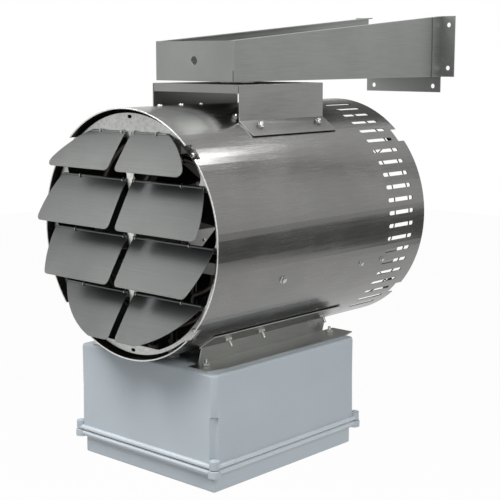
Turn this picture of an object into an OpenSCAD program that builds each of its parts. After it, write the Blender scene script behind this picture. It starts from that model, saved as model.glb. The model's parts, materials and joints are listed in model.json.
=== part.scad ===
// Round-cased fan heater on a wall arm. The origin is the middle of the arm's
// four wall bolts, on the wall face. The wall lies in the XZ plane at y = 0, the
// heater hangs out along -Y and blows its warm air towards -Y. +Z is up.

/* [Wall arm] */
// Distance from the wall to the swivel bolt
arm_reach = 490; // [420:5:620]
// Length of the arm in front of the swivel bolt
arm_nose = 107; // [80:1:140]
// Outside width of the arm channel
arm_w = 182; // [150:1:196]
// Height of the arm at its front plate
arm_h_nose = 65.5; // [50:0.5:90]
// Height of the arm at the wall
arm_h_wall = 117; // [100:1:160]
// Sheet thickness of the arm and its wall angles
arm_t = 2; // [1.5:0.5:3]
// Width of the lips turned in along the top edges
arm_lip = 12; // [8:1:20]
// Hole in the middle of the front plate
nose_hole_d = 14; // [8:1:22]
// Height of that hole above the bottom of the arm
nose_hole_up = 33.5; // [25:0.5:40]
// Height of the slit beside the front plate
nose_slit_h = 17.5; // [10:0.5:25]
// Width of that slit
nose_slit_w = 1.5; // [1:0.5:2.5]

/* [Wall fixing] */
// Leg of each wall angle that is welded to the arm
weld_leg = 36; // [25:1:50]
// Leg of each wall angle that lies on the wall
wall_leg = 29; // [24:1:40]
// Bolt holes in the wall angles
wall_hole_d = 9; // [7:0.5:12]
// Distance of those holes from the side of the arm
wall_hole_out = 15; // [12:0.5:18]
// Upright distance between the wall bolts
wall_hole_pitch = 83; // [60:1:86]
// Height of the flange turned down below the arm
foot_h = 30.5; // [26:0.5:40]
// Width of the flange turned down below the arm
foot_w = 179; // [164:1:180]
// Distance between the bolt holes in that flange
foot_hole_span = 144; // [120:1:148]
// Drop of those holes below the arm
foot_hole_drop = 18.5; // [14:0.5:20]

/* [Swivel] */
// Swivel bolt
pivot_d = 12; // [10:1:14]
// Running clearance of the swivel bolt in the saddle
pivot_fit = 0.05; // [0.02:0.01:0.1]
// Gap between the arm and the saddle
swivel_gap = 4.5; // [3:0.5:8]
// Play between the saddle and the washers beside it
swivel_play = 0.1; // [0.05:0.05:0.3]
// Outside of the spacer in the gap
spacer_d = 60; // [40:1:80]
// Outside of the two other washers
washer_d = 34; // [28:1:40]
// Thickness of those washers
washer_t = 2.5; // [1.5:0.5:3]
// Nut and head of the swivel bolt, across the flats
pivot_af = 19; // [17:1:22]
// Height of the swivel bolt's head and nut
pivot_nut_h = 8; // [6:0.5:9]
// End of the swivel bolt that stands out of its nut
pivot_end = 5; // [2:1:6]

/* [Saddle] */
// Outside width of the saddle
saddle_w = 203; // [198:1:210]
// Length of the saddle along the shell
saddle_len = 212; // [190:1:230]
// Height of the saddle's top above the shell
saddle_high = 34; // [30:1:56]
// Sheet thickness of the saddle
saddle_t = 2; // [1.5:0.5:3]
// Lips turned down at the two ends of the top
saddle_lip = 14; // [10:1:20]
// Foot between the bend and its bolts
saddle_foot_in = 18; // [15:1:20]
// Foot beyond its bolts
saddle_foot_out = 20; // [14:1:24]
// Distance between the two bolts of a foot
saddle_bolt_pitch = 147; // [120:1:170]

/* [Shell] */
// Outside diameter of the shell
shell_d = 406; // [400:1:410]
// Length of the shell
shell_len = 537; // [530:1:560]
// Sheet thickness of the shell
shell_t = 1.5; // [1:0.25:2]
// Length of the shell in front of the swivel bolt
shell_fore = 262; // [258:1:268]
// Air slots that would fill the whole turn
slot_places = 56; // [48:2:60]
// Slots left out at the top
slot_gap_top = 4; // [2:2:6]
// Slots left out at the bottom
slot_gap_bottom = 10; // [8:2:14]
// Length of a slot
slot_len = 72; // [50:1:74]
// Width of a slot
slot_w = 7; // [4:0.5:9]
// Plain edge behind the slots
slot_inset = 34; // [30:1:36]
// Width of the eight tongues bent in at the rims
tongue_w = 28; // [20:1:32]
// Length of the tongues at the front rim
tongue_front = 12; // [10:0.5:13]
// Length of the tongues at the rear rim
tongue_rear = 17; // [13:0.5:19]
// Angle of the tongues above and below the middle
tongue_angle = 44; // [42:0.5:46]

/* [Louvers] */
// Gap between the louvers' outer ends and the inside of the shell
blade_margin = 14.5; // [13.5:0.5:17]
// Hinges of the louver rows below the top of the circle that the louvers fill
louver_drops = [23.5, 99, 190, 281];
// Gap between a louver's free edge and the next hinge
louver_gap = 5; // [4.8:0.2:8]
// Gap between the bottom louvers' free edge and the bottom of the circle
louver_low_gap = 8; // [6:0.5:14]
// Sheet thickness of a louver
blade_t = 1.2; // [1:0.1:1.5]
// Corner radius of a louver
blade_corner = 9; // [4:1:11]
// Gap between the left and right louvers
blade_gap = 15; // [13:0.5:18]
// Upright bar between the left and right openings
mullion_w = 14; // [12:0.5:16]
// Sheet thickness of the louver frame
frame_t = 1.5; // [1:0.25:2]
// Opening edge beyond the louvers' outer ends
frame_margin = 1.5; // [1:0.25:2]
// Corner radius of the openings
frame_corner = 10; // [6:1:12]
// Part of the frame's bars below a louver's hinge
frame_bar = 8; // [6:0.5:12]
// Play between the louver frame and the shell
frame_play = 0.5; // [0.3:0.1:1]
// Drain and lifting holes at the top and bottom of the frame
frame_hole_d = 6; // [4:0.5:7]
// Rolled edge at a louver's hinge
hem_d = 4.4; // [3.8:0.2:5]
// Hinge pin of a louver
pin_d = 2.5; // [2:0.25:3]
// Running clearance of the hinge pins
pin_fit = 0.05; // [0.02:0.01:0.1]
// Ears that carry the hinge pins, from the pin to their edge
ear_r = 4; // [3.6:0.1:4.6]
// Sheet thickness of the ears
ear_t = 1.5; // [1:0.25:2]
// Play between an ear and the louver beside it
ear_play = 0.3; // [0.2:0.1:0.6]
// Distance of the inner ears from the middle
ear_in = 14; // [13:0.5:18]

/* [Heating elements] */
// Tube of the heating elements
tube_d = 11; // [8:0.5:12]
// Gap between the middle of the front element's tube and the inside of the shell
ring_margin = 41.5; // [34:0.5:52]
// How much smaller the next element ring is
ring_step = 45; // [36:1:48]
// Place of the front element ring behind the front rim
ring_first = 77; // [72:1:82]
// Distance between the element rings along the shell
ring_pitch = 48; // [40:1:50]
// Half distance between the two legs of an element
leg_x = 24; // [20:1:30]
// Block where a leg leaves its ring
block_d = 14.5; // [13:0.5:16]
// Length of the legs inside the control box
leg_end = 24; // [18:1:30]
// Outside of the bushings round the legs
bushing_d = 18; // [16:0.5:20]
// Collar of those bushings
collar_d = 22; // [21:0.5:26]
// Depth of those bushings in the shell and in the box
bushing_in = 6; // [5:0.5:10]
// Width of the hangers that hold the rings
hanger_w = 16; // [12:1:20]
// Sheet thickness of the hangers and the cross bar
hanger_t = 1.5; // [1:0.25:2]
// Place of the cross bar's bolts behind the front rim
crossbar_at = 161; // [159:1:162]
// Height of the cross bar
crossbar_h = 20; // [16:1:24]
// Limit thermostat across its face
limit_d = 26; // [20:1:32]
// Depth of the limit thermostat
limit_h = 18; // [12:1:24]

/* [Motor and fan] */
// Middle of the motor behind the swivel bolt
motor_y = 134.5; // [130:0.5:138]
// Diameter of the motor
motor_d = 140; // [128:1:146]
// Length of the motor's can
motor_len = 104; // [90:1:110]
// Wall of the motor's can
can_t = 3; // [2:0.5:4]
// Thickness of the motor's end bells
bell_t = 9; // [7:0.5:11]
// Hubs of the end bells, where the motor is held
bell_hub_d = 48; // [46:1:54]
// Length of those hubs
bell_hub_len = 9; // [8:0.5:11]
// Wall of the rubber rings round the hubs
rubber_t = 8; // [5:0.5:10]
// Motor shaft
shaft_d = 12.7; // [10:0.1:14]
// Running clearance of the shaft in its bearings
shaft_fit = 0.03; // [0.02:0.01:0.1]
// Bearing outside diameter
bearing_d = 35; // [30:1:37]
// Bearing width
bearing_w = 11; // [9:0.5:13]
// Air gap between the rotor and the stator
air_gap = 0.6; // [0.4:0.1:1]
// Rotor diameter
rotor_d = 88; // [76:1:94]
// Rotor and stator length
core_len = 66; // [50:1:76]
// Middle of the fan behind the swivel bolt, negative in front of it
fan_y = -20; // [-26:1:-16]
// Gap between the fan's tips and the inside of the shell
fan_tip_gap = 11.5; // [9:0.5:30]
// Number of fan blades
fan_blades = 5; // [3:1:6]
// Pitch of the fan blades
fan_pitch = 24; // [15:1:26]
// Width of a fan blade
fan_chord = 92; // [60:1:96]
// Sheet thickness of a fan blade
fan_t = 1.6; // [1.2:0.1:2.5]
// Fan hub diameter
hub_d = 44; // [36:1:52]
// Fan hub length
hub_len = 30; // [24:1:40]
// Height of the motor platform below the middle
platform_drop = 96; // [94:0.5:98]
// Length of the motor platform
platform_len = 148; // [142:1:156]
// Distance between the platform's screws
platform_screw_pitch = 59; // [50:1:80]
// Sheet thickness of the platform and the motor's cradle
platform_t = 2; // [1.5:0.5:3]
// Wire of the fan guard
guard_wire = 2.4; // [2:0.2:3]
// Number of rings in the fan guard
guard_rings = 6; // [4:1:8]

/* [Control box] */
// Width of the box at its top
box_w = 322; // [316:1:326]
// Depth of the box at its top
box_length = 360; // [356:1:368]
// Growth of the width and depth from the top to the rim
box_draft = 5; // [3:0.5:8]
// Height of the box without its cover
box_h = 151.5; // [140:0.5:170]
// Wall thickness of the box and the cover
box_t = 4; // [3:0.5:5]
// Corner radius at the top of the box
box_corner = 20; // [16:1:24]
// Corner radius at the rim
rim_corner = 4; // [3:0.5:6]
// Middle of the box in front of the swivel bolt
box_fore = 50; // [47:1:52]
// Clear gap between the shell and the box
box_gap = 5; // [4:0.5:8]
// Rim of the box beyond its wall
rim_out = 2; // [1.5:0.5:4]
// Height of the rim
rim_h = 8; // [6:0.5:12]
// Height of the cover
cover_h = 42.5; // [35:0.5:60]
// Inset of the cover's tray from its rim, at the top
cover_inset = 5; // [4:0.5:8]
// Further inset of the tray at its bottom
cover_draft = 5; // [3:0.5:8]
// Rounding of the cover's bottom edges
cover_round = 6; // [4:0.5:8]
// Height of the cover's rim
cover_rim = 9.5; // [7:0.5:12]
// Gasket thickness
gasket_t = 1; // [0.8:0.1:2]
// Width of the gasket
gasket_w = 5; // [4:0.5:6]
// Lug radius at the corners of the box
lug_r = 8.5; // [7.5:0.5:9.5]
// How much larger the cover's lugs are
cover_lug_more = 1.5; // [1:0.5:2]
// Lug middle inside the box's wall
lug_in = 2.5; // [2:0.5:4]
// Height of the box's lugs
lug_h = 14.5; // [12:0.5:18]
// Height of the cover's lugs
cover_lug_h = 11.5; // [10:0.5:14]
// Height of the flutes above the lugs, from the rim
flute_h = 83; // [60:1:100]
// Radius of the flutes
flute_r = 9.2; // [8.5:0.1:10]

/* [Cradles] */
// Sheet thickness of the two cradles
cradle_t = 2; // [1.5:0.5:3]
// Angle below the middle where the cradles touch the shell
cradle_angle = 55; // [54:0.2:56]
// Width of the cradle strip that lies on the shell
cradle_strip = 39; // [36:1:42]
// Length of that strip
cradle_len = 323; // [310:1:340]
// Strip in front of the swivel bolt
cradle_fore = 200; // [190:1:210]
// Notch at the ends of the cradle's web
cradle_notch = 4; // [2:1:8]
// Inner edge of the foot from the middle
cradle_in = 93; // [90:1:97]
// Outer edge of the foot from the middle
cradle_out = 146; // [140:1:150]
// Length of the foot on the box
cradle_foot_len = 372; // [360:1:380]
// Foot in front of the swivel bolt
cradle_foot_fore = 220; // [214:1:224]
// Depth of the foot's slanted corners
cradle_slant = 34; // [20:1:44]
// Width of those slanted corners
cradle_slant_w = 9; // [5:1:14]
// The three studs of each strip, from its front end
cradle_studs = [48, 128, 288];
// The two bolts of each foot, from its front end
cradle_foot_bolts = [23, 338];
// Distance of those bolts from the middle
cradle_bolt_x = 112; // [108:1:120]

/* [Fasteners] */
// Bolts of the saddle and the cradles
bolt_d = 6; // [5:0.5:7]
// Their nuts across the flats
nut_af = 11; // [10:0.5:12]
// Height of those nuts
nut_h = 5; // [4:0.5:6]
// Bolt end that stands out of a nut on the saddle
saddle_stud = 6; // [3:0.5:10]
// Stud end that stands out of a nut on a cradle
cradle_stud = 10; // [4:0.5:14]
// Small screws
screw_d = 4; // [3:0.5:4.5]
// Heads of the small screws
screw_head_d = 8; // [7:0.5:9]
// Height of those heads
screw_head_h = 2.6; // [2:0.2:4]
// Length of a small screw in sheet metal
screw_len = 8; // [7:0.5:10]

/* [Inside the box] */
// Steel plate that carries the switchgear, width
plate_w = 250; // [230:1:270]
// That plate's depth
plate_l = 150; // [140:1:156]
// That plate's thickness
plate_t = 2; // [1.5:0.5:3]
// Middle of the plate behind the swivel bolt
plate_y = 34; // [30:1:38]
// Height of the bosses above it
boss_h = 12; // [8:1:20]
// Diameter of those bosses
boss_d = 14; // [12:1:18]
// Contactor width
contactor_w = 45; // [40:1:50]
// Contactor depth
contactor_l = 76; // [60:1:80]
// Contactor height
contactor_h = 72; // [60:1:84]
// Gap between the two contactors
contactor_gap = 10; // [5:1:20]
// Transformer core width
core_w = 60; // [50:1:66]
// Transformer core depth
core_l = 52; // [44:1:60]
// Transformer core height
core_h = 44; // [36:1:54]
// Terminal block length
block_w = 96; // [80:1:110]
// Terminal block depth
block_l = 26; // [22:1:32]
// Terminal block height
block_h = 30; // [24:1:40]
// Ways of the terminal block
block_ways = 6; // [4:1:8]
// Ground lug width
ground_w = 16; // [12:1:20]
// Bore of the conduit hub
hub_bore = 27; // [20:1:30]
// Wall of the conduit hub's thread
hub_wall = 3; // [2.5:0.5:4]
// Thread of the hub outside and inside the box
hub_reach = 20; // [16:1:26]
// Hub hexagon and locknut across the flats
hub_af = 42; // [40:1:48]
// Height of that hexagon and the locknut
hub_nut_h = 6; // [5:0.5:8]
// Hub middle to the left of the box's middle
hub_x = 90; // [60:1:100]
// Hub middle below the box's top
hub_drop = 62; // [54:1:80]

/* [Hidden] */
$fn = 96;
// Facets of small round bars
bar_fn = 32;
// Overrun of all cuts
over = 1;
// Gap left at a seat between two pieces
seat = 0.15;
// How much wider than its bolt or tube a plain hole is
hole_play = 0.6;
// Clearance of a nut or a hub on its thread or shaft
thread_play = 0.05;

arm_len = arm_reach + arm_nose;
arm_floor = -arm_h_wall/2;
wall_hole_x = arm_w/2 + wall_hole_out;
washer_low_z = arm_floor - swivel_gap - saddle_t - swivel_play - washer_t;

shell_r = shell_d/2;
shell_in = shell_r - shell_t;
saddle_rise = shell_r + saddle_high;
axis_z = arm_floor - swivel_gap - saddle_rise;
front_y = -shell_fore;
rear_y = front_y + shell_len;
// Angle below the middle of the cross bar's and the platform's screws
side_angle = 20;
// Angle of the limit thermostat
limit_angle = 64.4;
crossbar_y = front_y + crossbar_at;
platform_screw_y = [motor_y - platform_screw_pitch/2, motor_y + platform_screw_pitch/2];
ring_r = [for (k = [0:2]) shell_in - ring_margin - k*ring_step];
ring_y = [for (k = [0:2]) front_y + ring_first + k*ring_pitch];

frame_y = front_y + tongue_front - frame_t;
hinge_y = frame_y - hem_d/2 - seat;
frame_r = shell_in - frame_play;
blade_r = shell_in - blade_margin;
fan_d = 2*(shell_in - fan_tip_gap);
open_r = blade_r + frame_margin;
tongue_screw_r = (open_r + frame_r)/2;
// Resting angle of each louver row, from hanging straight down
louver_rest = [35, 29, 32, 33];
louver_rows = len(louver_drops);
// Place of the outer ears as a share of the louver's half width
ear_out_share = 0.72;

box_top = -shell_r - box_gap;
rim_z = box_top - box_h;
cover_z = rim_z - gasket_t;
wall_w = box_w + box_draft;
wall_l = box_length + box_draft;
lug_x = wall_w/2 - lug_in;
lug_y = wall_l/2 - lug_in;
plate_z = box_top - box_t - boss_h - plate_t;

function chord_x(r, z) = sqrt(r*r - z*z);
function hinge_z(row) = blade_r - louver_drops[row];
function depth(row) = row == louver_rows - 1 ? hinge_z(row) + blade_r - louver_low_gap
                                             : hinge_z(row) - hinge_z(row + 1) - louver_gap;
// Bottom of an opening in the frame, just above the ears of the next row
function opening_low(row) = row == louver_rows - 1 ? hinge_z(row) - depth(row)
                                                   : hinge_z(row + 1) + ear_r + ear_play;
function ear_out(row) = ear_out_share*chord_x(blade_r, hinge_z(row));

// Builds in the heater's own frame: Y from the swivel bolt, Z from the shell's middle
module heater() translate([0, -arm_reach, axis_z]) children();

// Builds in the middle of the control box's top
module box_frame() heater() translate([0, -box_fore, 0]) children();

// A flat sheet standing across the shell, drawn as seen from the front
module across(y, t) translate([0, y + t, 0]) rotate([90, 0, 0]) linear_extrude(t) children();

// A flat sheet standing along the shell, drawn as seen from the right
module along(x, t) translate([x, 0, 0]) rotate([90, 0, 90]) linear_extrude(t) children();

// A bar or a bore along Y
module bar_y(r, y0, y1) translate([0, y0, 0]) rotate([-90, 0, 0]) cylinder(r = r, h = y1 - y0);

// A bar or a bore along X
module bar_x(r, x0, x1) translate([x0, 0, 0]) rotate([0, 90, 0]) cylinder(r = r, h = x1 - x0);

// A place on the shell's surface: Z points out, X points down the right side
module on_shell(angle, y) translate([0, y, 0]) rotate([0, -angle, 0]) translate([shell_r, 0, 0])
    rotate([0, 90, 0]) children();

module both_sides() {
    children();
    mirror([1, 0, 0]) children();
}

module bored(d, h) difference() {
    children();
    translate([0, 0, -over]) cylinder(d = d, h = h + 2*over);
}

module hexagon(af, h) cylinder(r = af/sqrt(3), h = h, $fn = 6);

module nut(d, af, h) bored(d + 2*thread_play, h) hexagon(af, h);

module washer(d, outer, h) bored(d, h) cylinder(d = outer, h = h);

// A bolt whose head lies under z = 0 and whose shank points up
module bolt(d, af, head, length) {
    translate([0, 0, -head]) hexagon(af, head);
    cylinder(d = d, h = length);
}

// Top of a screw head as a share of its diameter
crown_share = 0.7;

// A pan head screw: the head stands on z = 0 and the shank points down
module screw(length) {
    cylinder(d1 = screw_head_d, d2 = crown_share*screw_head_d, h = screw_head_h);
    translate([0, 0, -length]) cylinder(d = screw_d, h = length);
}

// A strip of sheet bent along two or more points, seen edge on
module bent_strip(points, t) {
    for (k = [0:len(points) - 2]) {
        run = points[k + 1] - points[k];
        translate(points[k]) rotate(atan2(run.y, run.x)) translate([0, -t/2]) square([norm(run), t]);
    }
    for (p = points) translate(p) circle(d = t);
}

module round_rect(w, l, r) {
    square([w - 2*r, l], center = true);
    square([w, l - 2*r], center = true);
    for (x = [-1, 1], y = [-1, 1]) translate([x*(w/2 - r), y*(l/2 - r)]) circle(r = r);
}

// Wall arm

module arm_side() polygon([[0, arm_floor], [0, arm_floor + arm_h_wall],
    [-arm_len, arm_floor + arm_h_nose], [-arm_len, arm_floor]]);

module arm_top_edge() polygon([[0, arm_floor + arm_h_wall - arm_t], [0, arm_floor + arm_h_wall],
    [-arm_len, arm_floor + arm_h_nose], [-arm_len, arm_floor + arm_h_nose - arm_t]]);

module arm_channel() color("silver") difference() {
    union() {
        translate([-arm_w/2, -arm_len, arm_floor]) cube([arm_w, arm_len, arm_t]);
        translate([-arm_w/2, -arm_len, arm_floor]) cube([arm_w, arm_t, arm_h_nose]);
        both_sides() {
            along(arm_w/2 - arm_t, arm_t) arm_side();
            along(arm_w/2 - arm_lip, arm_lip) arm_top_edge();
        }
        translate([-foot_w/2, -arm_t, arm_floor - foot_h]) cube([foot_w, arm_t, foot_h + arm_t]);
    }
    translate([arm_w/2 - arm_t - nose_slit_w, -arm_len - over, arm_floor - over])
        cube([nose_slit_w, arm_t + over, nose_slit_h + over]);
    translate([0, 0, arm_floor + nose_hole_up])
        bar_y(nose_hole_d/2, -arm_len - over, -arm_len + arm_t + over);
    translate([0, -arm_reach, arm_floor - over]) cylinder(d = pivot_d + hole_play, h = arm_t + 2*over);
    both_sides() translate([foot_hole_span/2, 0, arm_floor - foot_hole_drop])
        bar_y(wall_hole_d/2, -arm_t - over, over);
}

module wall_angle() color("gray") difference() {
    union() {
        intersection() {
            along(arm_w/2 + seat, arm_t) arm_side();
            translate([0, -weld_leg, arm_floor]) cube([arm_w, weld_leg, arm_h_wall]);
        }
        translate([arm_w/2 + seat, -arm_t, arm_floor]) cube([wall_leg, arm_t, arm_h_wall]);
    }
    for (z = [-1, 1]) translate([wall_hole_x, 0, z*wall_hole_pitch/2])
        bar_y(wall_hole_d/2, -arm_t - over, over);
}

module wall_angle_right() wall_angle();
module wall_angle_left() mirror([1, 0, 0]) wall_angle();

// Swivel

module pivot_bolt() color("silver") translate([0, -arm_reach, 0]) {
    head_z = arm_floor + arm_t + washer_t;
    foot_z = washer_low_z - pivot_nut_h - pivot_end;
    translate([0, 0, head_z]) hexagon(pivot_af, pivot_nut_h);
    translate([0, 0, foot_z]) cylinder(d = pivot_d, h = head_z - foot_z);
}

module pivot_washers() color("gainsboro") translate([0, -arm_reach, 0]) {
    hole_d = pivot_d + hole_play;
    translate([0, 0, arm_floor + arm_t]) washer(hole_d, washer_d, washer_t);
    translate([0, 0, arm_floor - swivel_gap + swivel_play])
        washer(hole_d, spacer_d, swivel_gap - swivel_play);
    translate([0, 0, washer_low_z]) washer(hole_d, washer_d, washer_t);
}

module pivot_nut() color("silver") translate([0, -arm_reach, washer_low_z - pivot_nut_h])
    nut(pivot_d, pivot_af, pivot_nut_h);

// Saddle

saddle_mid = saddle_w/2 - saddle_t/2;
saddle_lie = shell_r + saddle_t/2 + seat;
// Angle round the shell at which the feet lie on it, so that they meet the sides at the bend
saddle_angle = acos(saddle_mid/norm([saddle_lie, saddle_foot_in])) - atan(saddle_foot_in/saddle_lie);
function saddle_foot(s) = saddle_lie*[cos(saddle_angle), sin(saddle_angle)]
                          + s*[sin(saddle_angle), -cos(saddle_angle)];

module saddle_bolt_places() for (y = [-1, 1]) both_sides()
    on_shell(saddle_angle, y*saddle_bolt_pitch/2) children();

module saddle() heater() color("silver") difference() {
    union() {
        across(-saddle_len/2, saddle_len) both_sides() bent_strip([
            [0, saddle_rise - saddle_t/2], [saddle_mid, saddle_rise - saddle_t/2],
            saddle_foot(-saddle_foot_in), saddle_foot(saddle_foot_out)], saddle_t);
        for (y = [-saddle_len/2, saddle_len/2 - saddle_t])
            translate([-saddle_mid + saddle_t, y, saddle_rise - saddle_lip])
                cube([2*(saddle_mid - saddle_t), saddle_t, saddle_lip - saddle_t/2]);
    }
    translate([0, 0, saddle_rise - saddle_t - over])
        cylinder(d = pivot_d + 2*pivot_fit, h = saddle_t + 2*over);
    saddle_bolt_places() cylinder(d = bolt_d + hole_play, h = saddle_t + 2*over);
}

module saddle_bolts() heater() color("silver") saddle_bolt_places()
    translate([0, 0, -shell_t - seat])
        bolt(bolt_d, nut_af, nut_h, shell_t + saddle_t + nut_h + saddle_stud);

module saddle_nuts() heater() color("silver") saddle_bolt_places()
    translate([0, 0, saddle_t + 2*seat]) nut(bolt_d, nut_af, nut_h);

// Shell

module tongue_places() for (side = [tongue_angle, 180 - tongue_angle, 180 + tongue_angle, -tongue_angle])
    rotate([0, -side, 0]) children();

slot_step = 360/slot_places;
slot_side = (slot_places - slot_gap_top - slot_gap_bottom)/2;
slot_start = 90 - (slot_gap_top + 1)*slot_step/2;

module slot_cut() {
    straight = slot_len - slot_w;
    translate([-slot_w/2, -straight/2, -shell_t - over]) cube([slot_w, straight, shell_t + 2*over]);
    for (y = [-1, 1]) translate([0, y*straight/2, -shell_t - over])
        cylinder(d = slot_w, h = shell_t + 2*over);
}

module shell_hole(angle, y, d) on_shell(angle, y) translate([0, 0, -shell_t - over])
    cylinder(d = d, h = shell_t + 2*over);

module tongue_notch(y0, y1) translate([shell_in - over, y0, -tongue_w/2])
    cube([shell_t + 2*over, y1 - y0, tongue_w]);

module tongue(y, length) difference() {
    translate([shell_r - length, y, -tongue_w/2]) cube([length - shell_t/2, shell_t, tongue_w]);
    translate([tongue_screw_r, 0, 0]) bar_y((screw_d + hole_play)/2, y - over, y + shell_t + over);
}

module shell() heater() color("silver") {
    difference() {
        bar_y(shell_r, front_y, rear_y);
        bar_y(shell_in, front_y - over, rear_y + over);
        tongue_places() {
            tongue_notch(front_y - over, front_y + tongue_front);
            tongue_notch(rear_y - tongue_rear, rear_y + over);
        }
        both_sides() {
            for (k = [0:slot_side - 1])
                on_shell(slot_start - k*slot_step, rear_y - slot_inset - slot_len/2) slot_cut();
            for (y = platform_screw_y) shell_hole(-side_angle, y, screw_d + hole_play);
            for (y = [-1, 1]) shell_hole(saddle_angle, y*saddle_bolt_pitch/2, bolt_d + hole_play);
            for (at = cradle_studs) shell_hole(-cradle_angle, at - cradle_fore, bolt_d + hole_play);
            shell_hole(-side_angle, crossbar_y, bolt_d + hole_play);
        }
        for (y = ring_y) shell_hole(90, y, screw_d + hole_play);
        shell_hole(limit_angle, crossbar_y, bolt_d + hole_play);
        leg_places() translate([0, 0, -shell_r - over])
            cylinder(d = bushing_d + hole_play, h = shell_r/2);
    }
    tongue_places() {
        tongue(front_y + tongue_front, tongue_front);
        tongue(rear_y - tongue_rear - shell_t, tongue_rear);
    }
}

module tongue_screws() heater() color("silver") tongue_places() translate([tongue_screw_r, 0, 0]) {
    translate([0, frame_y - seat, 0]) rotate([90, 0, 0]) screw(screw_len);
    translate([0, rear_y - tongue_rear + guard_wire + seat, 0]) rotate([-90, 0, 0]) screw(screw_len);
}

// Louver frame and louvers

// The area that one opening or louver fills, between two heights and inside a circle
module louver_shape(inner, top, bottom, r, corner) {
    // Middle of the rounded corner at the rim, which stays a hair inside it rather than touching
    out = [chord_x(r - corner - seat, bottom + corner), bottom + corner];
    difference() {
        intersection() {
            circle(r = r);
            translate([inner, bottom]) square([r, top - bottom]);
        }
        translate([inner - over, bottom - over]) square([corner + over, corner + over]);
        polygon([out, 2*out, [2*out.x, -2*r], [out.x, -2*r]]);
    }
    translate([inner + corner, bottom + corner]) circle(r = corner);
    translate(out) circle(r = corner);
}

// A louver's ears lie in its own hinge line
module at_hinge(row) translate([0, hinge_y, hinge_z(row)]) children();

module ear(row, x) at_hinge(row) difference() {
    union() {
        bar_x(ear_r, x - ear_t/2, x + ear_t/2);
        translate([x - ear_t/2, 0, -hem_d/2])
            cube([ear_t, frame_y + frame_t/2 - hinge_y, hem_d/2 + ear_r]);
    }
    bar_x(pin_d/2 + pin_fit, x - ear_t, x + ear_t);
}

module louver_frame() heater() color("gainsboro") {
    difference() {
        across(frame_y, frame_t) difference() {
            circle(r = frame_r);
            for (row = [0:louver_rows - 1]) both_sides()
                louver_shape(mullion_w/2, hinge_z(row) - frame_bar, opening_low(row),
                             open_r, frame_corner);
            for (z = [-1, 1]) translate([0, z*tongue_screw_r]) circle(d = frame_hole_d);
        }
        tongue_places() translate([tongue_screw_r, 0, 0])
            bar_y((screw_d + hole_play)/2, frame_y - over, frame_y + frame_t + over);
    }
    for (row = [0:louver_rows - 1]) both_sides() {
        ear(row, ear_in);
        ear(row, ear_out(row));
    }
}

// A louver is drawn hanging straight down and then turned out to its resting angle
module louver(row) heater() color("lightgray") at_hinge(row) rotate([-louver_rest[row], 0, 0]) {
    end_x = chord_x(blade_r, hinge_z(row));
    slot = ear_t + 2*ear_play;
    difference() {
        union() {
            translate([0, 0, -hinge_z(row)]) across(-blade_t/2, blade_t)
                louver_shape(blade_gap/2, hinge_z(row), hinge_z(row) - depth(row), blade_r, blade_corner);
            bar_x(hem_d/2, blade_gap/2, end_x - hem_d/2);
        }
        for (x = [ear_in, ear_out(row)]) translate([x - slot/2, -ear_r - ear_play, -ear_r - ear_play])
            cube([slot, 2*(ear_r + ear_play), 2*(ear_r + ear_play)]);
    }
    bar_x(pin_d/2, ear_in - ear_t - ear_play, ear_out(row) + ear_t + ear_play);
}

module louver_1_right() louver(0);
module louver_2_right() louver(1);
module louver_3_right() louver(2);
module louver_4_right() louver(3);
module louver_1_left() mirror([1, 0, 0]) louver(0);
module louver_2_left() mirror([1, 0, 0]) louver(1);
module louver_3_left() mirror([1, 0, 0]) louver(2);
module louver_4_left() mirror([1, 0, 0]) louver(3);

// Heating elements and what carries them

module leg_places() for (y = ring_y, x = [-1, 1]) translate([x*leg_x, y, 0]) children();

// A ring open at the bottom, whose ends meet the legs in two short blocks
module element(k) heater() color("dimgray") translate([0, ring_y[k], 0]) {
    open_turn = asin(leg_x/ring_r[k]);
    leg_top = -ring_r[k]*cos(open_turn);
    leg_foot = box_top - box_t - leg_end;
    rotate([90, 0, 0]) rotate(open_turn - 90) rotate_extrude(angle = 360 - 2*open_turn)
        translate([ring_r[k], 0]) circle(d = tube_d, $fn = bar_fn);
    for (x = [-1, 1]) translate([x*leg_x, 0, 0]) {
        translate([0, 0, leg_top]) bar_y(block_d/2, -block_d/2, block_d/2);
        translate([0, 0, leg_foot]) cylinder(d = tube_d, h = leg_top - leg_foot, $fn = bar_fn);
    }
}

module element_front() element(0);
module element_middle() element(1);
module element_back() element(2);

module element_bushings() heater() color("ivory") leg_places() {
    foot_z = box_top - box_t - bushing_in;
    high = box_t + box_gap + shell_t + 2*bushing_in;
    translate([0, 0, foot_z]) bored(tube_d + 2*thread_play, high) {
        cylinder(d = bushing_d, h = high);
        translate([0, 0, box_t + bushing_in + seat]) cylinder(d = collar_d, h = box_gap/2);
    }
}

module element_hangers() heater() color("silver") for (k = [0:2]) translate([0, ring_y[k], 0]) {
    clip_r = tube_d/2 + hole_play;
    foot_top = chord_x(shell_in, hanger_w/2) - seat;
    difference() {
        union() {
            translate([-hanger_w/2, -hanger_w/2, foot_top - hanger_t])
                cube([hanger_w, hanger_w/2 + clip_r + hanger_t, hanger_t]);
            translate([-hanger_w/2, clip_r, ring_r[k]])
                cube([hanger_w, hanger_t, foot_top - hanger_t/2 - ring_r[k]]);
            translate([0, 0, ring_r[k]]) bar_x(clip_r + hanger_t, -hanger_w/2, hanger_w/2);
        }
        translate([0, 0, ring_r[k]]) bar_x(clip_r, -hanger_w, hanger_w);
        translate([0, 0, foot_top - hanger_t - over])
            cylinder(d = screw_d + hole_play, h = hanger_t + 2*over);
    }
}

// A foot rolled to lie against the inside of the shell, between two angles below the middle
module rolled_foot(from, to, y0, y1, t) translate([0, y1, 0]) rotate([90, 0, 0]) rotate(-to)
    rotate_extrude(angle = to - from) translate([shell_in - seat - t, 0]) square([t, y1 - y0]);

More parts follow.
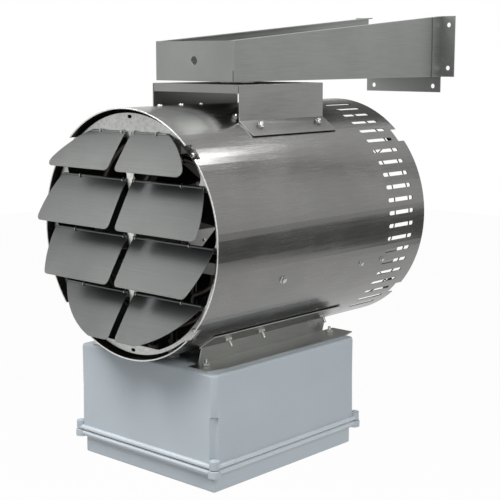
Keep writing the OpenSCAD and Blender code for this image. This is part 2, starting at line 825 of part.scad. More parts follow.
module element_crossbar() heater() color("silver") {
    sheet_y = crossbar_y - crossbar_h/2;
    bar_z = -shell_in*sin(side_angle);
    foot_turn = atan((crossbar_h/2 - hanger_t)/shell_in);
    mid_r = shell_in - seat - hanger_t/2;
    guide_x = leg_x + tube_d;
    across(sheet_y, hanger_t) polygon([
        [-chord_x(mid_r, bar_z + crossbar_h/2), bar_z + crossbar_h/2],
        [chord_x(mid_r, bar_z + crossbar_h/2), bar_z + crossbar_h/2],
        [chord_x(mid_r, bar_z - crossbar_h/2), bar_z - crossbar_h/2],
        [-chord_x(mid_r, bar_z - crossbar_h/2), bar_z - crossbar_h/2]]);
    both_sides() difference() {
        rolled_foot(side_angle - foot_turn, side_angle + foot_turn,
                    sheet_y + hanger_t/2, crossbar_y + crossbar_h/2, hanger_t);
        shell_hole(-side_angle, crossbar_y, bolt_d + hole_play);
        on_shell(-side_angle, crossbar_y) translate([0, 0, -shell_t - hanger_t - over])
            cylinder(d = bolt_d + hole_play, h = hanger_t + 2*over);
    }
    difference() {
        translate([-guide_x, sheet_y, bar_z - crossbar_h/2])
            cube([2*guide_x, ring_y[2] - sheet_y + tube_d, hanger_t]);
        for (x = [-1, 1]) translate([x*leg_x, ring_y[2], bar_z - crossbar_h/2 - over])
            cylinder(d = tube_d + hole_play, h = hanger_t + 2*over);
    }
}

module shell_screws() heater() color("silver") {
    for (y = ring_y) on_shell(90, y) translate([0, 0, seat]) screw(screw_len);
    both_sides() {
        for (y = platform_screw_y) on_shell(-side_angle, y) translate([0, 0, seat]) screw(screw_len);
        on_shell(-side_angle, crossbar_y) translate([0, 0, seat]) rotate([180, 0, 0])
            bolt(bolt_d, nut_af, nut_h, screw_len);
    }
}

module limit_thermostat() heater() color("dimgray") on_shell(limit_angle, crossbar_y) {
    // Drop of the round shell across the thermostat's face
    sag = shell_in - chord_x(shell_in, limit_d/2) + seat;
    translate([0, 0, -shell_t - limit_h - sag]) cylinder(d = limit_d, h = limit_h);
    translate([0, 0, -shell_t - sag - over])
        cylinder(d = bolt_d, h = shell_t + sag + over + nut_h + bolt_d/2);
    translate([0, 0, seat]) hexagon(nut_af, nut_h);
}

// Fan guard, fan and motor

// How far the spokes stop short of their screws, in screw diameters
spoke_end_share = 0.75;

module guard_ring(r, y) translate([0, y, 0]) rotate([90, 0, 0]) rotate_extrude()
    translate([r, 0]) circle(d = guard_wire, $fn = bar_fn);

module fan_guard() heater() color("silver") {
    wire_y = rear_y - tongue_rear + guard_wire/2;
    ring_out = shell_in - tongue_rear - guard_wire;
    // Depth that crossing wires are welded into each other
    weld = guard_wire/4;
    for (k = [1:guard_rings]) guard_ring(ring_out*k/guard_rings, wire_y - guard_wire + weld);
    tongue_places() difference() {
        union() {
            translate([0, wire_y, 0]) bar_x(guard_wire/2, 0, tongue_screw_r - spoke_end_share*screw_d);
            translate([tongue_screw_r, 0, 0])
                bar_y(screw_d, wire_y - guard_wire/2, wire_y + guard_wire/2);
        }
        translate([tongue_screw_r, 0, 0])
            bar_y((screw_d + hole_play)/2, wire_y - guard_wire, wire_y + guard_wire);
    }
}

// Width of a fan blade at its root, and where it is widest, as shares
blade_root_share = 0.5;
blade_wide_share = 0.8;
// Depth of the boss that the hub's screw sits in, as a share of the hub's radius
hub_root_share = 0.6;

module fan_blade() rotate([0, 0, fan_pitch]) across(-fan_t/2, fan_t) {
    root = blade_root_share*fan_chord/2;
    low = hub_root_share*hub_d/2;
    wide = blade_wide_share*fan_d/2;
    polygon([[-root, low], [root, low], [fan_chord/2, wide],
             [root, fan_d/2], [-root, fan_d/2], [-fan_chord/2, wide]]);
}

module fan() heater() color("slategray") difference() {
    union() {
        bar_y(hub_d/2, fan_y - hub_len/2, fan_y + hub_len/2);
        intersection() {
            translate([0, fan_y, 0])
                for (k = [0:fan_blades - 1]) rotate([0, k*360/fan_blades, 0]) fan_blade();
            bar_y(fan_d/2, fan_y - fan_chord, fan_y + fan_chord);
        }
    }
    bar_y(shaft_d/2 + thread_play, fan_y - hub_len, fan_y + hub_len);
    fan_setscrew_place() cylinder(d = screw_d + 2*thread_play, h = hub_d);
}

// The screw sits between two blades, behind them
module fan_setscrew_place() translate([0, fan_y + hub_len/2 - screw_d, 0]) rotate([0, 180/fan_blades, 0])
    translate([0, 0, shaft_d/2 + seat]) children();

module fan_setscrew() heater() color("black") fan_setscrew_place()
    cylinder(d = screw_d, h = (hub_d - shaft_d)/2 - 2*seat);

can_front = motor_y - motor_len/2;
can_rear = motor_y + motor_len/2;
motor_front = can_front - bell_t - bell_hub_len;
motor_rear = can_rear + bell_t + bell_hub_len;

module both_ends() {
    children();
    translate([0, 2*motor_y, 0]) mirror([0, 1, 0]) children();
}

module motor_shaft() heater() color("gainsboro") bar_y(shaft_d/2, fan_y - hub_len/2, motor_rear);

module motor_rotor() heater() color("gray") difference() {
    bar_y(rotor_d/2, motor_y - core_len/2, motor_y + core_len/2);
    bar_y(shaft_d/2 + thread_play, motor_y - core_len, motor_y + core_len);
}

module motor_stator() heater() color("peru") difference() {
    bar_y(motor_d/2 - can_t - thread_play, motor_y - core_len/2, motor_y + core_len/2);
    bar_y(rotor_d/2 + air_gap, motor_y - core_len, motor_y + core_len);
}

module motor_can() heater() color("dimgray") difference() {
    bar_y(motor_d/2, can_front, can_rear);
    bar_y(motor_d/2 - can_t, can_front - over, can_rear + over);
}

module motor_end_bells() heater() color("darkgray") both_ends() difference() {
    union() {
        bar_y(motor_d/2, can_front - bell_t, can_front);
        bar_y(bell_hub_d/2, motor_front, can_front);
    }
    bar_y(bearing_d/2 + thread_play, can_front - bearing_w, can_front + over);
    bar_y(shaft_d/2 + hole_play/2, motor_front - over, can_front);
}

module motor_bearings() heater() color("silver") both_ends() difference() {
    bar_y(bearing_d/2, can_front - bearing_w, can_front);
    bar_y(shaft_d/2 + shaft_fit, can_front - bearing_w - over, can_front + over);
}

module motor_rubbers() heater() color("black") both_ends() difference() {
    bar_y(bell_hub_d/2 + rubber_t, motor_front, can_front - bell_t);
    bar_y(bell_hub_d/2 + thread_play, motor_front - over, can_front - bell_t + over);
}

module motor_cradle() heater() color("silver") {
    bed_z = platform_t - platform_drop;
    cheek = bell_hub_d/2 + rubber_t + 2*platform_t;
    translate([-cheek, motor_front + bell_hub_len/2, bed_z])
        cube([2*cheek, motor_rear - motor_front - bell_hub_len, platform_t]);
    both_ends() difference() {
        union() {
            bar_y(cheek, motor_front + bell_hub_len/2, motor_front + bell_hub_len/2 + platform_t);
            translate([-cheek, motor_front + bell_hub_len/2, bed_z]) cube([2*cheek, platform_t, -bed_z]);
        }
        bar_y(bell_hub_d/2 + rubber_t + thread_play, motor_front, can_front);
    }
}

module motor_platform() heater() color("silver") {
    mid_r = shell_in - seat - platform_t/2;
    half_w = chord_x(mid_r, platform_drop - platform_t/2);
    // Angle that the rolled feet reach above and below their screws
    foot_down = asin((platform_drop - platform_t/2)/mid_r) - side_angle;
    foot_up = 6;
    y0 = motor_y - platform_len/2;
    translate([-half_w, y0, -platform_drop]) cube([2*half_w, platform_len, platform_t]);
    // The feet stop a sheet's thickness short of the platform's ends
    both_sides() difference() {
        rolled_foot(side_angle - foot_up, side_angle + foot_down,
                    y0 + platform_t, y0 + platform_len - platform_t, platform_t);
        for (y = platform_screw_y) on_shell(-side_angle, y) translate([0, 0, -shell_t - platform_t - over])
            cylinder(d = screw_d + hole_play, h = platform_t + 2*over);
    }
}

// Cradles

cradle_lie = shell_r + cradle_t/2 + seat;
function cradle_strip_point(s) = cradle_lie*[cos(cradle_angle), -sin(cradle_angle)]
                                 + s*[sin(cradle_angle), cos(cradle_angle)];
cradle_low = cradle_strip_point(-cradle_strip/2);
cradle_bend = [cradle_in + cradle_t/2, box_top + cradle_t/2];

module shell_stud_places() for (at = cradle_studs)
    both_sides() on_shell(-cradle_angle, at - cradle_fore) children();

module foot_bolt_places() for (at = cradle_foot_bolts) both_sides()
    translate([cradle_bolt_x, at - cradle_foot_fore, box_top]) children();

module cradle_right() heater() color("silver") difference() {
    union() {
        across(-cradle_fore, cradle_len)
            bent_strip([cradle_low, cradle_strip_point(cradle_strip/2)], cradle_t);
        across(-cradle_fore + cradle_notch, cradle_len - 2*cradle_notch)
            bent_strip([cradle_low, cradle_bend], cradle_t);
        translate([0, -cradle_foot_fore, box_top]) linear_extrude(cradle_t) polygon([
            [cradle_in, 0], [cradle_out - cradle_slant_w, 0], [cradle_out, cradle_slant],
            [cradle_out, cradle_foot_len - cradle_slant], [cradle_out - cradle_slant_w, cradle_foot_len],
            [cradle_in, cradle_foot_len]]);
    }
    shell_stud_places() cylinder(d = bolt_d + hole_play, h = cradle_t + 2*over);
    foot_bolt_places() translate([0, 0, -over]) cylinder(d = bolt_d + hole_play, h = cradle_t + 2*over);
}

module cradle_left() mirror([1, 0, 0]) cradle_right();

module cradle_bolts() heater() color("silver") {
    shell_stud_places() translate([0, 0, -shell_t - seat])
        bolt(bolt_d, nut_af, nut_h, shell_t + cradle_t + nut_h + cradle_stud);
    foot_bolt_places() translate([0, 0, -box_t - seat])
        bolt(bolt_d, nut_af, nut_h, box_t + cradle_t + nut_h + saddle_stud);
}

module cradle_nuts() heater() color("silver") {
    shell_stud_places() translate([0, 0, cradle_t + 2*seat]) nut(bolt_d, nut_af, nut_h);
    foot_bolt_places() translate([0, 0, cradle_t + seat]) nut(bolt_d, nut_af, nut_h);
}

// Control box

// A block whose four walls lean out evenly from its top to its bottom
module leaning(w, l, more, z1, z0) intersection() {
    across(-l, 2*l) polygon([[-w/2, z1], [w/2, z1], [(w + more)/2, z0], [-(w + more)/2, z0]]);
    along(-w, 2*w) polygon([[-l/2, z1], [l/2, z1], [(l + more)/2, z0], [-(l + more)/2, z0]]);
}

module lug_places() for (x = [-1, 1], y = [-1, 1]) translate([x*lug_x, y*lug_y, 0]) children();

module plate_boss_places() for (x = [-1, 1], y = [-1, 1])
    translate([x*(plate_w - boss_d)/2, box_fore + plate_y + y*(plate_l - boss_d)/2, 0]) children();

module box_outside() intersection() {
    leaning(box_w, box_length, box_draft, box_top, rim_z);
    union() {
        translate([0, 0, rim_z + flute_h])
            linear_extrude(box_h - flute_h) round_rect(wall_w, wall_l, box_corner);
        translate([0, 0, rim_z]) linear_extrude(flute_h) difference() {
            round_rect(wall_w, wall_l, rim_corner);
            lug_places() circle(r = flute_r);
        }
    }
}

module box_inside() intersection() {
    leaning(box_w - 2*box_t, box_length - 2*box_t, box_draft, box_top - box_t, rim_z - over);
    translate([0, 0, rim_z - over]) linear_extrude(box_h + over) difference() {
        round_rect(wall_w, wall_l, box_corner);
        lug_places() circle(r = flute_r + box_t);
    }
}

module box_base() box_frame() color("aliceblue") difference() {
    union() {
        difference() {
            union() {
                box_outside();
                translate([0, 0, rim_z]) linear_extrude(rim_h)
                    round_rect(wall_w + 2*rim_out, wall_l + 2*rim_out, rim_corner);
                lug_places() translate([0, 0, rim_z]) cylinder(r = lug_r, h = lug_h);
                hub_place() bar_y(hub_af/2 + box_t, -box_t, box_draft);
            }
            box_inside();
        }
        plate_boss_places() translate([0, 0, box_top - box_t - boss_h]) cylinder(d = boss_d, h = boss_h + over);
    }
    lug_places() translate([0, 0, rim_z - over]) cylinder(d = screw_d + hole_play, h = lug_h + 2*over);
    plate_boss_places() translate([0, 0, box_top - box_t - boss_h - over])
        cylinder(d = screw_d + 2*thread_play, h = boss_h + over);
    translate([0, box_fore, 0]) {
        leg_places() translate([0, 0, box_top - box_t - over])
            cylinder(d = bushing_d + hole_play, h = box_t + 2*over);
        foot_bolt_places() translate([0, 0, -box_t - over])
            cylinder(d = bolt_d + hole_play, h = box_t + 2*over);
    }
    hub_place() bar_y(hub_bore/2 + hub_wall + hole_play/2, -hub_reach, hub_reach);
}

module box_gasket() box_frame() color("black") translate([0, 0, cover_z]) linear_extrude(gasket_t) difference() {
    round_rect(wall_w, wall_l, rim_corner);
    square([wall_w - 2*gasket_w, wall_l - 2*gasket_w], center = true);
    lug_places() circle(r = (screw_d + hole_play)/2);
}

// One side of the cover's tray, seen edge on, with rounded bottom edges
module tray_side(half, low, r) {
    foot = -cover_h + low;
    polygon([[-half, -cover_rim], [half, -cover_rim], [half - cover_draft, foot + r],
             [half - cover_draft - r, foot], [-half + cover_draft + r, foot], [-half + cover_draft, foot + r]]);
    for (x = [-1, 1]) translate([x*(half - cover_draft - r), foot + r]) circle(r = r);
    translate([-half, -cover_rim - over]) square([2*half, cover_rim + 2*over]);
}

module tray(inset, low, r, corner) intersection() {
    across(-wall_l, 2*wall_l) tray_side(wall_w/2 + rim_out - inset, low, r);
    along(-wall_w, 2*wall_w) tray_side(wall_l/2 + rim_out - inset, low, r);
    translate([0, 0, -cover_h]) linear_extrude(cover_h + over)
        round_rect(wall_w + 2*rim_out - 2*inset, wall_l + 2*rim_out - 2*inset, corner);
}

module box_cover() box_frame() color("lavender") translate([0, 0, cover_z]) difference() {
    union() {
        difference() {
            intersection() {
                tray(cover_inset, 0, cover_round, box_corner);
                translate([-wall_w, -wall_l, -cover_h]) cube([2*wall_w, 2*wall_l, cover_h]);
            }
            lug_places() translate([0, 0, -cover_h - over]) cylinder(r = lug_r, h = cover_h - cover_lug_h + over);
        }
        translate([0, 0, -cover_rim]) linear_extrude(cover_rim)
            round_rect(wall_w + 2*rim_out, wall_l + 2*rim_out, rim_corner);
        lug_places() translate([0, 0, -cover_lug_h]) cylinder(r = lug_r + cover_lug_more, h = cover_lug_h);
    }
    difference() {
        tray(cover_inset + box_t, box_t, cover_round, box_corner);
        lug_places() translate([0, 0, -cover_h]) cylinder(r = lug_r + box_t, h = cover_h + 2*over);
    }
    lug_places() translate([0, 0, -cover_h]) cylinder(d = screw_d + hole_play, h = cover_h + over);
}

module cover_screws() box_frame() color("silver") lug_places() translate([0, 0, cover_z - cover_lug_h - seat])
    rotate([180, 0, 0]) screw(cover_lug_h + gasket_t + lug_h);

// Inside the box, all hung under one plate

module switch_plate() box_frame() color("silver") difference() {
    translate([-plate_w/2, box_fore + plate_y - plate_l/2, plate_z]) cube([plate_w, plate_l, plate_t]);
    plate_boss_places() translate([0, 0, plate_z - over]) cylinder(d = screw_d + hole_play, h = plate_t + 2*over);
}

// Places on the plate: X from the box's middle, Y from the plate's middle, Z down from the plate
module under_plate(x, y) heater() translate([x, plate_y + y, plate_z]) mirror([0, 0, 1]) children();

module plate_screws() {
    color("silver") box_frame() plate_boss_places() translate([0, 0, plate_z - seat])
        rotate([180, 0, 0]) screw(screw_len);
}

// Parts of the switchgear that stand out, as shares of their height or width
contactor_step_share = 0.7;
contactor_neck_share = 0.6;
contactor_x = (contactor_w + contactor_gap)/2;

module contactors() color("dimgray") for (x = [-1, 1]) under_plate(x*contactor_x, plate_l/4 - contactor_l/4)
    union() {
        translate([-contactor_w/2, -contactor_l/2, 0])
            cube([contactor_w, contactor_l, contactor_step_share*contactor_h]);
        translate([-contactor_w/2, -contactor_neck_share*contactor_l/2, 0])
            cube([contactor_w, contactor_neck_share*contactor_l, contactor_h]);
    }

winding_share = 0.7;
transformer_x = plate_w/2 - core_w/2 - boss_d;

module transformer() color("sienna") under_plate(transformer_x, 0) {
    translate([-core_w/2, -core_l/2, 0]) cube([core_w, core_l, core_h]);
    translate([-winding_share*core_w/2, -core_l/2 - core_h/4, core_h/4])
        cube([winding_share*core_w, core_l + core_h/2, core_h/2]);
}

// Gap between the ways of the terminal block, as a share of a way
way_gap_share = 0.2;

module terminal_block() color("ivory") under_plate(0, (block_l - plate_l)/2 + over) difference() {
    way = block_w/block_ways;
    translate([-block_w/2, -block_l/2, 0]) cube([block_w, block_l, block_h]);
    for (k = [0:block_ways - 1]) translate([(k + way_gap_share/2)*way - block_w/2, -block_l, block_h/2])
        cube([(1 - way_gap_share)*way, 2*block_l, block_h/8]);
}

module ground_lug() color("gold") under_plate(boss_d + ground_w - plate_w/2, 0) difference() {
    translate([-ground_w/2, -ground_w, 0]) cube([ground_w, 2*ground_w, ground_w]);
    translate([0, 0, ground_w/2]) bar_y(ground_w/4, -2*ground_w, 2*ground_w);
}

module hub_place() translate([-hub_x, box_length/2, box_top - hub_drop]) children();

module supply_hub() box_frame() color("silver") hub_place() difference() {
    union() {
        bar_y(hub_bore/2 + hub_wall, -hub_reach, hub_reach + box_draft);
        translate([0, box_draft + seat, 0]) rotate([-90, 0, 0]) hexagon(hub_af, hub_nut_h);
    }
    bar_y(hub_bore/2, -hub_reach - over, hub_reach + box_draft + over);
}

module hub_locknut() box_frame() color("silver") hub_place()
    translate([0, -box_t - seat, 0]) rotate([90, 0, 0]) nut(hub_bore + 2*hub_wall, hub_af, hub_nut_h);

arm_channel();
wall_angle_right();
wall_angle_left();
pivot_bolt();
pivot_washers();
pivot_nut();
saddle();
saddle_bolts();
saddle_nuts();
shell();
louver_frame();
tongue_screws();
louver_1_right();
louver_1_left();
louver_2_right();
louver_2_left();
louver_3_right();
louver_3_left();
louver_4_right();
louver_4_left();
element_front();
element_middle();
element_back();
element_hangers();
element_crossbar();
element_bushings();
shell_screws();
limit_thermostat();
fan_guard();
fan();
fan_setscrew();
motor_shaft();
motor_rotor();
motor_can();
motor_end_bells();
motor_stator();
motor_bearings();
motor_rubbers();
motor_cradle();
motor_platform();
cradle_right();
cradle_left();
cradle_bolts();
cradle_nuts();
box_base();
box_gasket();
box_cover();
cover_screws();
switch_plate();
plate_screws();
contactors();
transformer();
terminal_block();
ground_lug();
supply_hub();
hub_locknut();
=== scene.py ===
import json
from math import atan2, copysign, cos, degrees, hypot, pi, radians, sin, sqrt, tan

import bmesh
import bpy
from mathutils import Matrix, Vector


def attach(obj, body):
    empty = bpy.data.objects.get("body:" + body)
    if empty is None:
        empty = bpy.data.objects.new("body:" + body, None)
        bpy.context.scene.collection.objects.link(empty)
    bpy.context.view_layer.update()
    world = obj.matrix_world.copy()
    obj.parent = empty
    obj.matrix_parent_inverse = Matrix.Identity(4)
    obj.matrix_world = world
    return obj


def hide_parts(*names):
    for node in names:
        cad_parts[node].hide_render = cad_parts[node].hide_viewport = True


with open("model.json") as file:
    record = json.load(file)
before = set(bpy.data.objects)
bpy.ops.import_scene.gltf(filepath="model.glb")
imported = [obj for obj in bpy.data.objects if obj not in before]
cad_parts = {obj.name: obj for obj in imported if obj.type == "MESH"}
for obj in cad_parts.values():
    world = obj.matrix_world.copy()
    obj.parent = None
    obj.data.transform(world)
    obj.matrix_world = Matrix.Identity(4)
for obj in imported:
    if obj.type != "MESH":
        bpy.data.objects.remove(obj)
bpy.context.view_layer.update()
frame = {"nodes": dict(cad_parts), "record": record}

# Camera
# Stands to the right of the air outlet and a little above it, where the photograph was taken from.
# A long lens about two metres away keeps the two ends of the drum nearly the same size.
camera_tilt, camera_turn = 80.72, 42.3
camera = bpy.data.objects.new("camera", bpy.data.cameras.new("camera"))
camera.location = (1.421, -2.0214, -0.0134)
camera.rotation_euler = (radians(camera_tilt), 0, radians(camera_turn))
camera.data.sensor_width = 36
camera.data.lens = 86.6
bpy.context.collection.objects.link(camera)
bpy.context.scene.camera = camera
bpy.context.scene.view_settings.view_transform = "Standard"


# Studio floor
# A plain white painted board a metre under the heater, which is clear when seen from below.
# It shows white behind the heater and keeps a trace of the heater's shadow.
def feed(node, sockets):
    """Sets a shader node's sockets to plain values, or feeds them from other nodes."""
    for socket, given in sockets.items():
        if isinstance(given, bpy.types.NodeSocket):
            node.id_data.links.new(given, node.inputs[socket])
        else:
            node.inputs[socket].default_value = given
    return node


def add_node(tree, kind, sockets={}):
    """A new shader node with its sockets fed."""
    return feed(tree.nodes.new("ShaderNode" + kind), sockets)


def background_rays(tree):
    """1 for the rays that see the plain background: from the camera, from gloss and through glass."""
    path = add_node(tree, "LightPath")
    seen = path.outputs["Is Camera Ray"]
    for kind in ("Is Glossy Ray", "Is Transmission Ray"):
        either = add_node(tree, "Math", {0: seen, 1: path.outputs[kind]})
        either.operation = "MAXIMUM"
        seen = either.outputs[0]
    return seen


floor_z = -1.7
floor_reach = 9.0
shadow_kept = 0.03

floor_paint = bpy.data.materials.new("floor_paint")
floor_paint.use_nodes = True
tree = floor_paint.node_tree
tree.nodes.clear()
paint = add_node(tree, "BsdfDiffuse", {"Color": (0.8, 0.8, 0.8, 1)})
glow = add_node(tree, "Emission", {"Color": (1, 1, 1, 1), "Strength": 1.0})
share = add_node(tree, "Math", {0: background_rays(tree), 1: 1 - shadow_kept})
share.operation = "MULTIPLY"
blend = add_node(tree, "MixShader", {"Fac": share.outputs[0], 1: paint.outputs[0], 2: glow.outputs[0]})
side_seen = add_node(tree, "NewGeometry")
clear = add_node(tree, "BsdfTransparent")
one_sided = add_node(tree, "MixShader", {
    "Fac": side_seen.outputs["Backfacing"], 1: blend.outputs[0], 2: clear.outputs[0]})
add_node(tree, "OutputMaterial", {"Surface": one_sided.outputs[0]})


def mesh_object(name, bm, material):
    """An object made of a mesh, in one material."""
    made = bpy.data.objects.new(name, bpy.data.meshes.new(name))
    bm.to_mesh(made.data)
    bm.free()
    made.data.materials.append(material)
    bpy.context.collection.objects.link(made)
    return made


bm = bmesh.new()
bmesh.ops.create_grid(bm, x_segments=8, y_segments=8, size=floor_reach)
floor = mesh_object("studio_floor", bm, floor_paint)
floor.location.z = floor_z

# Studio light
# White walls all round, which the camera and the metal both see as white, and soft boxes.
# The small box at the back stands where the bright patch on the drum's front edge comes from.
world = bpy.data.worlds.new("studio")
bpy.context.scene.world = world
world.use_nodes = True
tree = world.node_tree
tree.nodes.clear()
room = add_node(tree, "Background", {"Color": (0.96, 0.98, 1.0, 1), "Strength": 0.28})
white = add_node(tree, "Background", {"Color": (1, 1, 1, 1), "Strength": 1.0})
blend = add_node(tree, "MixShader", {"Fac": background_rays(tree), 1: room.outputs[0], 2: white.outputs[0]})
add_node(tree, "OutputWorld", {"Surface": blend.outputs[0]})

drum_middle = (0, -0.49, -0.3)
for name, place, target, width, height, power in (
        ("soft_box_front", (-0.5, -2.4, 2.4), drum_middle, 1.4, 1.4, 120),
        ("soft_box_right", (2.4, -0.9, 0.9), drum_middle, 1.2, 1.2, 36),
        ("soft_box_back", (0.45, 0.25, 0.8), (0.15, -0.7, -0.15), 0.14, 0.14, 1.2),
        ("strip_box_right", (-1.03, -1.43, 0.55), (0.06, -0.75, -0.25), 0.04, 0.5, 0.55),
        ("strip_box_left", (-1.23, -1.39, 0.44), (-0.09, -0.75, -0.3), 0.08, 0.5, 0.15)):
    lamp = bpy.data.objects.new(name, bpy.data.lights.new(name, "AREA"))
    lamp.data.shape = "RECTANGLE"
    lamp.data.size = width
    lamp.data.size_y = height
    lamp.data.energy = power
    lamp.location = place
    away = Vector(target) - Vector(place)
    lamp.rotation_euler = away.to_track_quat("-Z", "Y").to_euler()
    bpy.context.collection.objects.link(lamp)

# Studio flags
# Cloths on frames behind the heater, which only the metal sees.
# The dark one draws the band along the middle of the drum, and the grey one the fainter band above it.
for name, middle, along, across, grey in (
        ("dark_flag", (1.4, 1.0, -0.74), (0.8, -0.75, 0), (0, 0, 0.36), 0.2),
        ("grey_flag", (1.0, 1.15, 0.95), (0.28, 0.63, -0.53), (0.09, -0.01, -0.07), 0.3)):
    cloth = bpy.data.materials.new(name)
    cloth.use_nodes = True
    feed(cloth.node_tree.nodes["Principled BSDF"], {
        "Base Color": (0.01, 0.01, 0.01, 1), "Roughness": 0.95,
        "Emission Color": (1, 1, 1, 1), "Emission Strength": grey})
    middle, along, across = Vector(middle), Vector(along), Vector(across)
    corners = ((-1, -1), (1, -1), (1, 1), (-1, 1))
    bm = bmesh.new()
    bm.faces.new([bm.verts.new(middle + along*u + across*v) for u, v in corners])
    flag = mesh_object(name, bm, cloth)
    flag.visible_camera = False
    flag.visible_diffuse = False
    flag.visible_shadow = False

# Hanging arm
# One tapered channel folded from brushed stainless sheet, open at the top, with its nose folded shut.
# Two punched angles are spot welded to the outsides of its wall end and bolt it to the wall.
bodies = frame["record"]["behaviour"]["bodies"]
body_of = {node: body for body, nodes in bodies.items() for node in nodes}
broken_edge = 0.0004
sharp_angle = radians(32)
flat_angle = radians(0.4)
same_point = 2e-6


def finish(name, colour, metallic, roughness, grain, spread=0.1, relief=0.0, coat=0.0):
    """A surface whose tone and gloss drift a little; grain spaces its marks, the same or by axis."""
    gloss_drift = 0.06
    material = bpy.data.materials.new(name)
    material.use_nodes = True
    tree = material.node_tree
    place = add_node(tree, "TexCoord").outputs["Object"]
    fineness = [1/spacing for spacing in (grain if isinstance(grain, tuple) else (grain,)*3)]
    stretch = add_node(tree, "Mapping", {"Vector": place, "Scale": fineness})
    marks = add_node(tree, "TexNoise", {"Vector": stretch.outputs[0], "Scale": 1.0, "Detail": 5.0})
    clouds = add_node(tree, "TexNoise", {"Vector": place, "Scale": 11.0, "Detail": 6.0})
    both = add_node(tree, "Mix", {"A": marks.outputs[0], "B": clouds.outputs[0], "Factor": 0.45})
    tone = add_node(tree, "ValToRGB", {"Fac": both.outputs["Result"]})
    dark, light = tone.color_ramp.elements
    dark.position, light.position = 0.38, 0.62
    dark.color = [part*(1 - spread) for part in colour] + [1]
    light.color = [min(1, part*(1 + spread)) for part in colour] + [1]
    gloss = add_node(tree, "MapRange", {
        "Value": both.outputs["Result"], "From Min": 0.35, "From Max": 0.65,
        "To Min": roughness - gloss_drift, "To Max": roughness + gloss_drift})
    surface = feed(tree.nodes["Principled BSDF"], {
        "Metallic": metallic, "Coat Weight": coat, "Base Color": tone.outputs["Color"],
        "Roughness": gloss.outputs["Result"]})
    if relief:
        bump = add_node(tree, "Bump", {"Height": marks.outputs[0], "Strength": 0.35, "Distance": relief})
        feed(surface, {"Normal": bump.outputs["Normal"]})
    return material


def settle(name, bm, material, body, slot, *nodes):
    """Turns a mesh into a piece that rides on a body, and stands for the CAD nodes it replaces."""
    bmesh.ops.recalc_face_normals(bm, faces=bm.faces)
    piece = mesh_object(name, bm, material)
    piece.data.shade_smooth()
    piece.data.set_sharp_from_angle(angle=sharp_angle)
    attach(piece, body)
    if nodes:
        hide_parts(*nodes)
    return piece


def cad_copy(node):
    """A copy of a CAD piece's mesh, with whole flat faces."""
    bm = bmesh.new()
    bm.from_mesh(frame["nodes"][node].data)
    bmesh.ops.remove_doubles(bm, verts=bm.verts, dist=same_point)
    bmesh.ops.dissolve_limit(bm, angle_limit=flat_angle, verts=bm.verts, edges=bm.edges)
    return bm


def break_edges(piece, width, segments=2, angle=sharp_angle, harden=False):
    """Rounds a piece's sharp edges, as deburring does."""
    bevel = piece.modifiers.new("broken_edges", "BEVEL")
    bevel.width = width
    bevel.segments = segments
    bevel.limit_method = "ANGLE"
    bevel.angle_limit = angle
    bevel.harden_normals = harden


def fold(node, material, slot, edge=broken_edge):
    """A folded, pressed or sawn piece: the CAD shape with its edges broken."""
    piece = settle(node + "_worked", cad_copy(node), material, body_of[node], slot, node)
    break_edges(piece, edge, harden=True)
    return piece


def ring(bm, matrix, radii, heights):
    """Points round the z axis of matrix, each at its own radius and height."""
    around = [2*pi*k/len(radii) for k in range(len(radii))]
    return [bm.verts.new(matrix @ Vector((r*cos(a), r*sin(a), h)))
            for a, r, h in zip(around, radii, heights)]


def joined(bm, rings, closed=False):
    """Faces from each ring of points to the next, and over both ends where they are closed."""
    for low, high in zip(rings, rings[1:]):
        for k in range(max(len(low), len(high))):
            corners = [low[k % len(low)], low[(k + 1) % len(low)],
                       high[(k + 1) % len(high)], high[k % len(high)]]
            bm.faces.new(list(dict.fromkeys(corners)))
    if closed:
        bm.faces.new(rings[0])
        bm.faces.new(rings[-1])


def turned(bm, profile, matrix, segments=24):
    """Turns a profile of (radius, height) points about the z axis of matrix."""
    rings = [ring(bm, matrix, [radius]*(segments if radius else 1), [height]*(segments if radius else 1))
             for radius, height in profile]
    joined(bm, rings)
    return rings


def rod(bm, matrix, radius, low, high, segments):
    """A plain round bar from low to high."""
    turned(bm, [(0, low), (radius, low), (radius, high), (0, high)], matrix, segments)


def standing(place, direction):
    """A matrix whose z axis points along direction at place."""
    return Matrix.Translation(place) @ Vector(direction).to_track_quat("Z", "X").to_matrix().to_4x4()


def raised(matrix, height):
    """The same matrix, moved along its own z axis."""
    return matrix @ Matrix.Translation((0, 0, height))


arm_steel = finish("arm_steel", (0.26, 0.27, 0.26), 1, 0.4, (0.0012, 0.06, 0.0012))
for node in ("arm_channel", "wall_angle_right", "wall_angle_left"):
    fold(node, arm_steel, "arm_steel")

weld_r = 0.0042
weld_dent = 0.0002
weld_floor = 0.00002
weld_y, weld_z = -0.019, (0.04, -0.041)
arm_side_x = 0.091
weld_profile = [(weld_r, 0), (weld_r*0.9, weld_dent), (weld_r*0.75, weld_dent*0.9), (weld_r*0.6, weld_floor),
                (0, weld_floor)]
bm = bmesh.new()
for side in (-1, 1):
    for z in weld_z:
        turned(bm, weld_profile, standing((side*arm_side_x, weld_y, z), (side, 0, 0)))
settle("arm_spot_welds", bm, arm_steel, "wall_arm", "arm_steel")

# Swivel
# A hexagon bolt with washers hangs the saddle under the arm and lets the heater turn.
# Zinc plated steel, rolled thread, the nut tightened from below.
thread_pitch_share = 0.16
thread_depth_share = 0.09
bore_ease_share = 1.01


